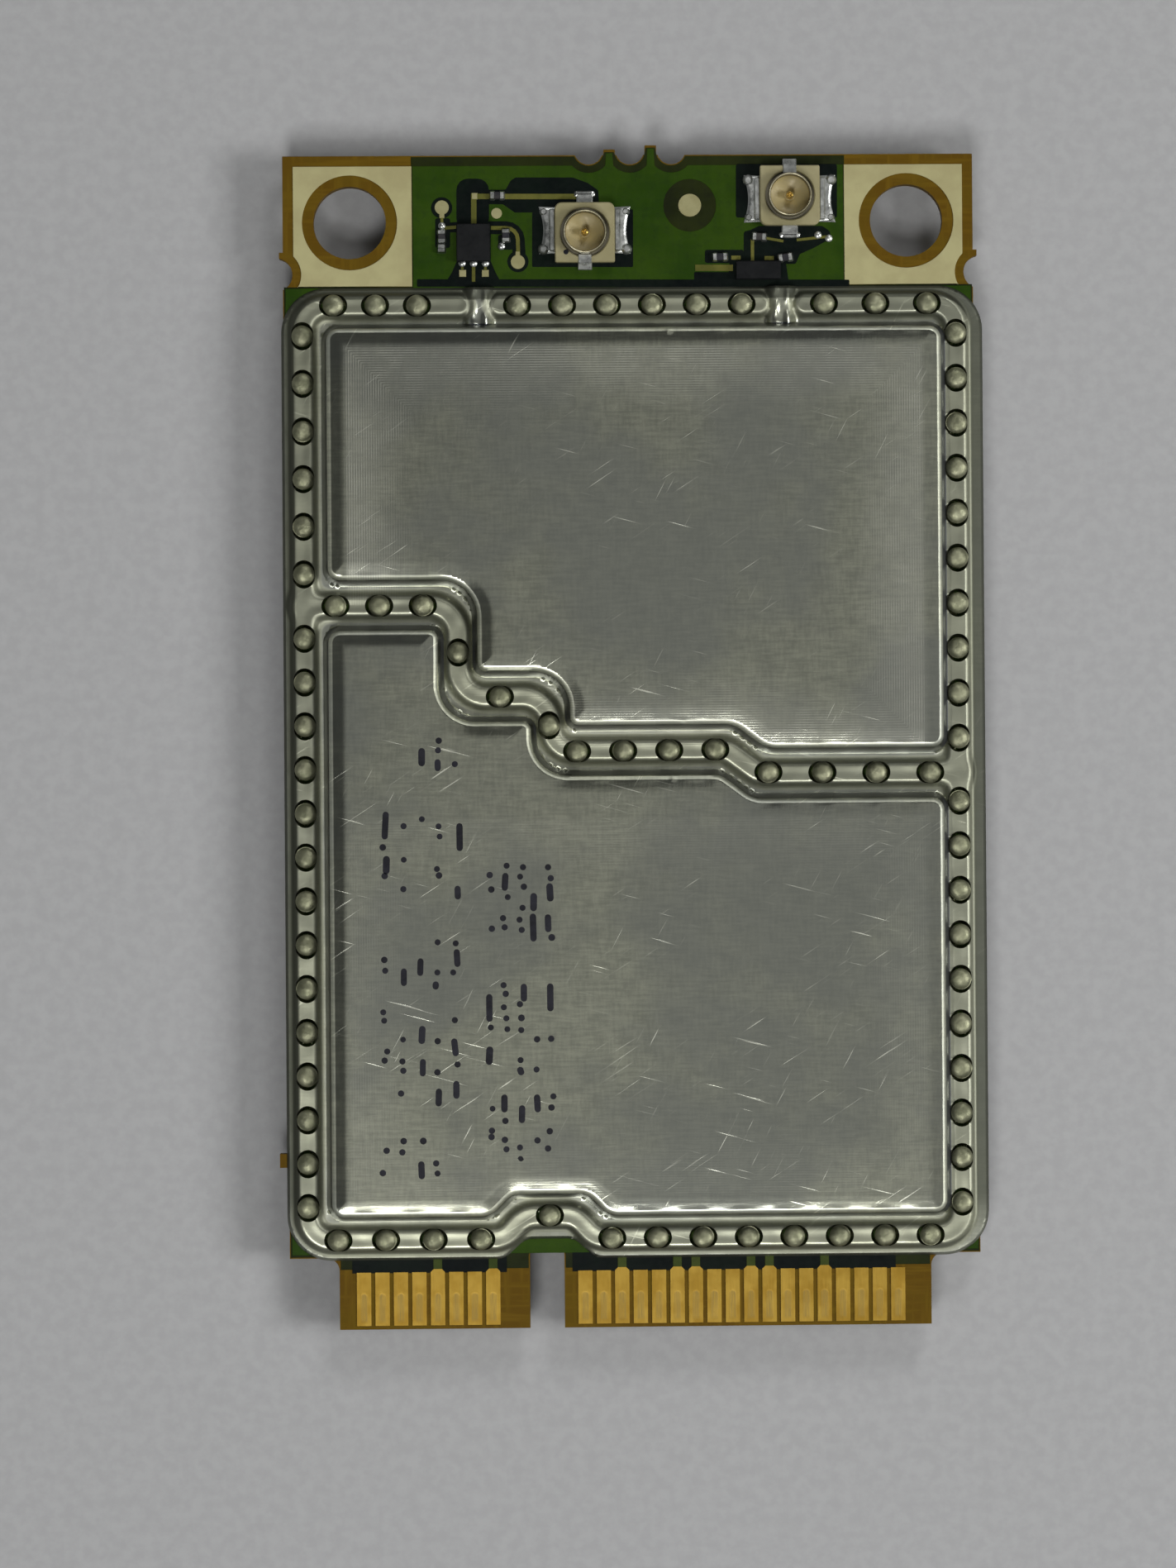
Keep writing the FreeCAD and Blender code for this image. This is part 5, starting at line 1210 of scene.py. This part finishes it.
def receptacle(name, x, y, around):
    """Moulded body, ring groove with painted shade on its floor, plated ring round a shallow dish, centre
    pin, and plated feet.

    Made round the origin, then turned half round where around is -1, and moved to its place.
    """
    block = rounded([(-1.3, -1.3, 0.08), (1.3, -1.3, 0.08), (1.3, 1.3, 0.3), (-1.3, 1.3, 0.3)], turn=15)
    body = [plate(block, 0.06, 0.46, [disc_path(0, 0, 0.86, 40)]),
            plate(block, 0.45, 0.63, [disc_path(0, 0, 1.07, 40)], ease=0.045)]
    waist = np.linspace(-1, 1, 15)
    feet = []
    for side in (-1, 1):
        outer = np.column_stack([side * (2.02 - 0.2 * (1 - waist ** 2) ** 1.2), 0.12 + 1.05 * waist])
        inner = np.array([(side * 1.24, 1.14), (side * 1.24, -0.9)])
        feet.append(prism(np.vstack([outer, inner]), [(0.0, 0.0), (0.02, 0.06), (0.1, 0.12), (0.16, 0.13)]))
        low, high = sorted((side * 1.28, side * 1.55))
        feet.append(prism(box_path(low, -0.8, high, 1.05, 0.06), [(0.0, 0.1), (0.0, 0.24), (0.06, 0.3)]))
        feet.append(prism(disc_path(side * 1.8, -0.7, 0.26, 12), [(0.0, 0.03), (0.05, 0.14), (0.14, 0.21)]))
        feet.append(prism(disc_path(side * 1.78, 0.93, 0.2, 12), [(0.0, 0.03), (0.05, 0.12), (0.1, 0.17)]))
    feet += [prism(box_path(*box), levels) for box, levels in MIDDLE_FEET]
    for part, forms, finish, slot, replaced in (
            ("insulator", body, insulator, "insulator", ["base"]),
            ("groove", [lathe(GROOVE_SHADE_RING, 0, 0, 40)], groove_painted_shade, "insulator", []),
            ("dish", [lathe(DISH, 0, 0, 40)], dish_gold, "insulator", []),
            ("ring", [lathe(RECEPTACLE_RING, 0, 0, 40)], ring_silver, "socket_metal", ["shell"]),
            ("feet", feet, silver, "socket_metal", []),
            ("pin", [lathe(PIN, 0, 0, 16)], pin_gold, "gold", ["contact"])):
        points, faces = merge(forms)
        points = points * (around, around, 1) + (x, y - HALF_LENGTH, 0)
        make_piece(f"{name}_receptacle_{part}", (points, faces), BOARD_TOP, finish,
                   [f"{name}_receptacle_{node}" for node in replaced])


receptacle("main", *MAIN, 1)
receptacle("diversity", *DIVERSITY, -1)
gate_mark = lathe(GATE, MAIN[0] - 0.82, MAIN[1] - HALF_LENGTH - 0.86, 12)
make_piece("gate_mark", gate_mark, BOARD_TOP, ink)

# Chips and small parts of the antenna strip: both ends of each small part, and the middles of solder mounds
SMALL_PARTS = [((534.6, 281.2), (534.8, 291.4)), ((595.8, 236.6), (607.6, 236.6)),
               ((611.8, 279.8), (612.2, 290.3)), ((913, 286), (924.4, 286.6)), ((865, 311), (877.4, 310.6)),
               ((944.5, 312), (956, 310.6)), ((534.4, 298.5), (534.4, 303))]
MOUNDS = [(559.4, 318.6), (573.2, 318.8), (587.6, 318.6), (535.0, 273.4), (607, 298), (990, 284), (1003, 288)]
MOUND = [(0.0, 0.03), (0.17, 0.03), (0.16, 0.08), (0.1, 0.13), (0.0, 0.15)]


def two_ended(a, b, width=0.36, height=0.28):
    """Body and both soldered ends of a small part."""
    span = np.linalg.norm(b - a)
    way = (b - a) / span
    side = np.array([-way[1], way[0]])

    def box(start, end, half, radius):
        corners = [a + way * s + side * h
                   for s, h in ((start, -half), (end, -half), (end, half), (start, half))]
        return rounded([(x, y, radius) for x, y in corners], turn=25)

    body = box(0.05, span - 0.05, width / 2 - 0.02, 0.02)
    body = prism(body, [(0, 0.04), (0, height - 0.03), (0.03, height)])
    levels = [(-0.03, 0.03), (0.0, height - 0.06), (0.04, height + 0.012)]
    return body, [prism(box(s - 0.11, s + 0.11, width / 2, 0.05), levels) for s in (0.0, span)]


small = [two_ended(*spots(ends)) for ends in SMALL_PARTS]
mounds = [lathe(MOUND, x, y, 12) for x, y in spots(MOUNDS)]
make_piece("matching_bodies", merge([body for body, ends in small]), BOARD_TOP, ceramic,
           ["matching_parts"])
make_piece("matching_ends", merge([end for body, ends in small for end in ends] + mounds), BOARD_TOP, silver)
for name, corners, height, node in (
        ("antenna_switch_chip", [(552.5, 271.5), (593.5, 317.0)], 0.55, "antenna_switch"),
        ("receive_filter_chip", [(890.0, 316.0), (945.0, 338.0)], 0.5, "receive_filter")):
    path = box_path(*np.sort(spots(corners), axis=0).ravel(), 0.04)
    chip = prism(path, [(0.0, 0.05), (0.0, height - 0.05), (0.04, height)])
    make_piece(name, chip, BOARD_TOP, chip_black, [node])

# Ink: two columns of plain dots and short strokes, in no kind of lettering. Upright columns and the runs of
# level rows that they cross, in the photograph
INK = [((467, 489, 511, 531, 553), ((898, 930), (988, 1084), (1138, 1190), (1222, 1340), (1380, 1424))),
       ((594, 612, 630, 648, 666), ((1048, 1142), (1192, 1236), (1244, 1296), (1328, 1402)))]
INK_PITCH, INK_SHARE, INK_RADIUS = 12.4, 0.46, 0.138


def ink_column(column, low, high):
    """Dots scattered over the crossings of one column with the rows of a run. Some grow to strokes."""
    forms = []
    skip = 0
    for y in np.arange(low, high + 1, INK_PITCH):
        if skip > 0:
            skip -= 1
            continue
        if rng.uniform() > INK_SHARE:
            continue
        x = column + rng.normal(0, 1.6)
        top = y + rng.normal(0, 1.6)
        draw = rng.uniform()
        length = min(0.0 if draw < 0.74 else 14.0 if draw < 0.9 else 26.0, high - y)
        skip = int(length / INK_PITCH)
        (x0, y0), (x1, y1) = spots([(x + rng.normal(0, 0.6), top), (x, top + length)])
        radius = INK_RADIUS + rng.normal(0, 0.006)
        if length:
            arc = [(radius * math.cos(t), radius * math.sin(t)) for t in np.linspace(0, math.pi, 6)]
            path = [(x0 + u, y0 + v) for u, v in arc] + [(x1 - u, y1 - v) for u, v in arc]
        else:
            path = disc_path(x0, y0, radius, 12)
        forms.append(plate(path, -0.004, 0.005, ease=0.002))
    return forms


marks = []
for columns, runs in INK:
    for low, high in runs:
        for column in columns:
            marks += ink_column(column, low, high)
make_piece("ink_dots", merge(marks), BOARD_TOP + UPPER_HEIGHT, ink, sharp=10)

# Solids that keep their own form: the board, the fingers, and the parts that the shields hide
CAD_FINISHES = (
    (laminate, ["circuit_board"]),
    (contact_gold, ["edge_contacts_top"]),
    (contact_gold_under, ["edge_contacts_bottom"]),
    (chip_black, ["radio_transceiver", "baseband_processor", "memory_stack", "power_manager",
                  "power_amplifiers", "supply_regulators"]),
    (silver, ["reference_crystal"]),
    (ceramic, ["duplex_filters", "radio_capacitors", "baseband_capacitors", "underside_capacitors",
               "power_inductors"]),
)
for finish, nodes in CAD_FINISHES:
    for slot in [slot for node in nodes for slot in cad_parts[node].material_slots]:
        slot.material = finish
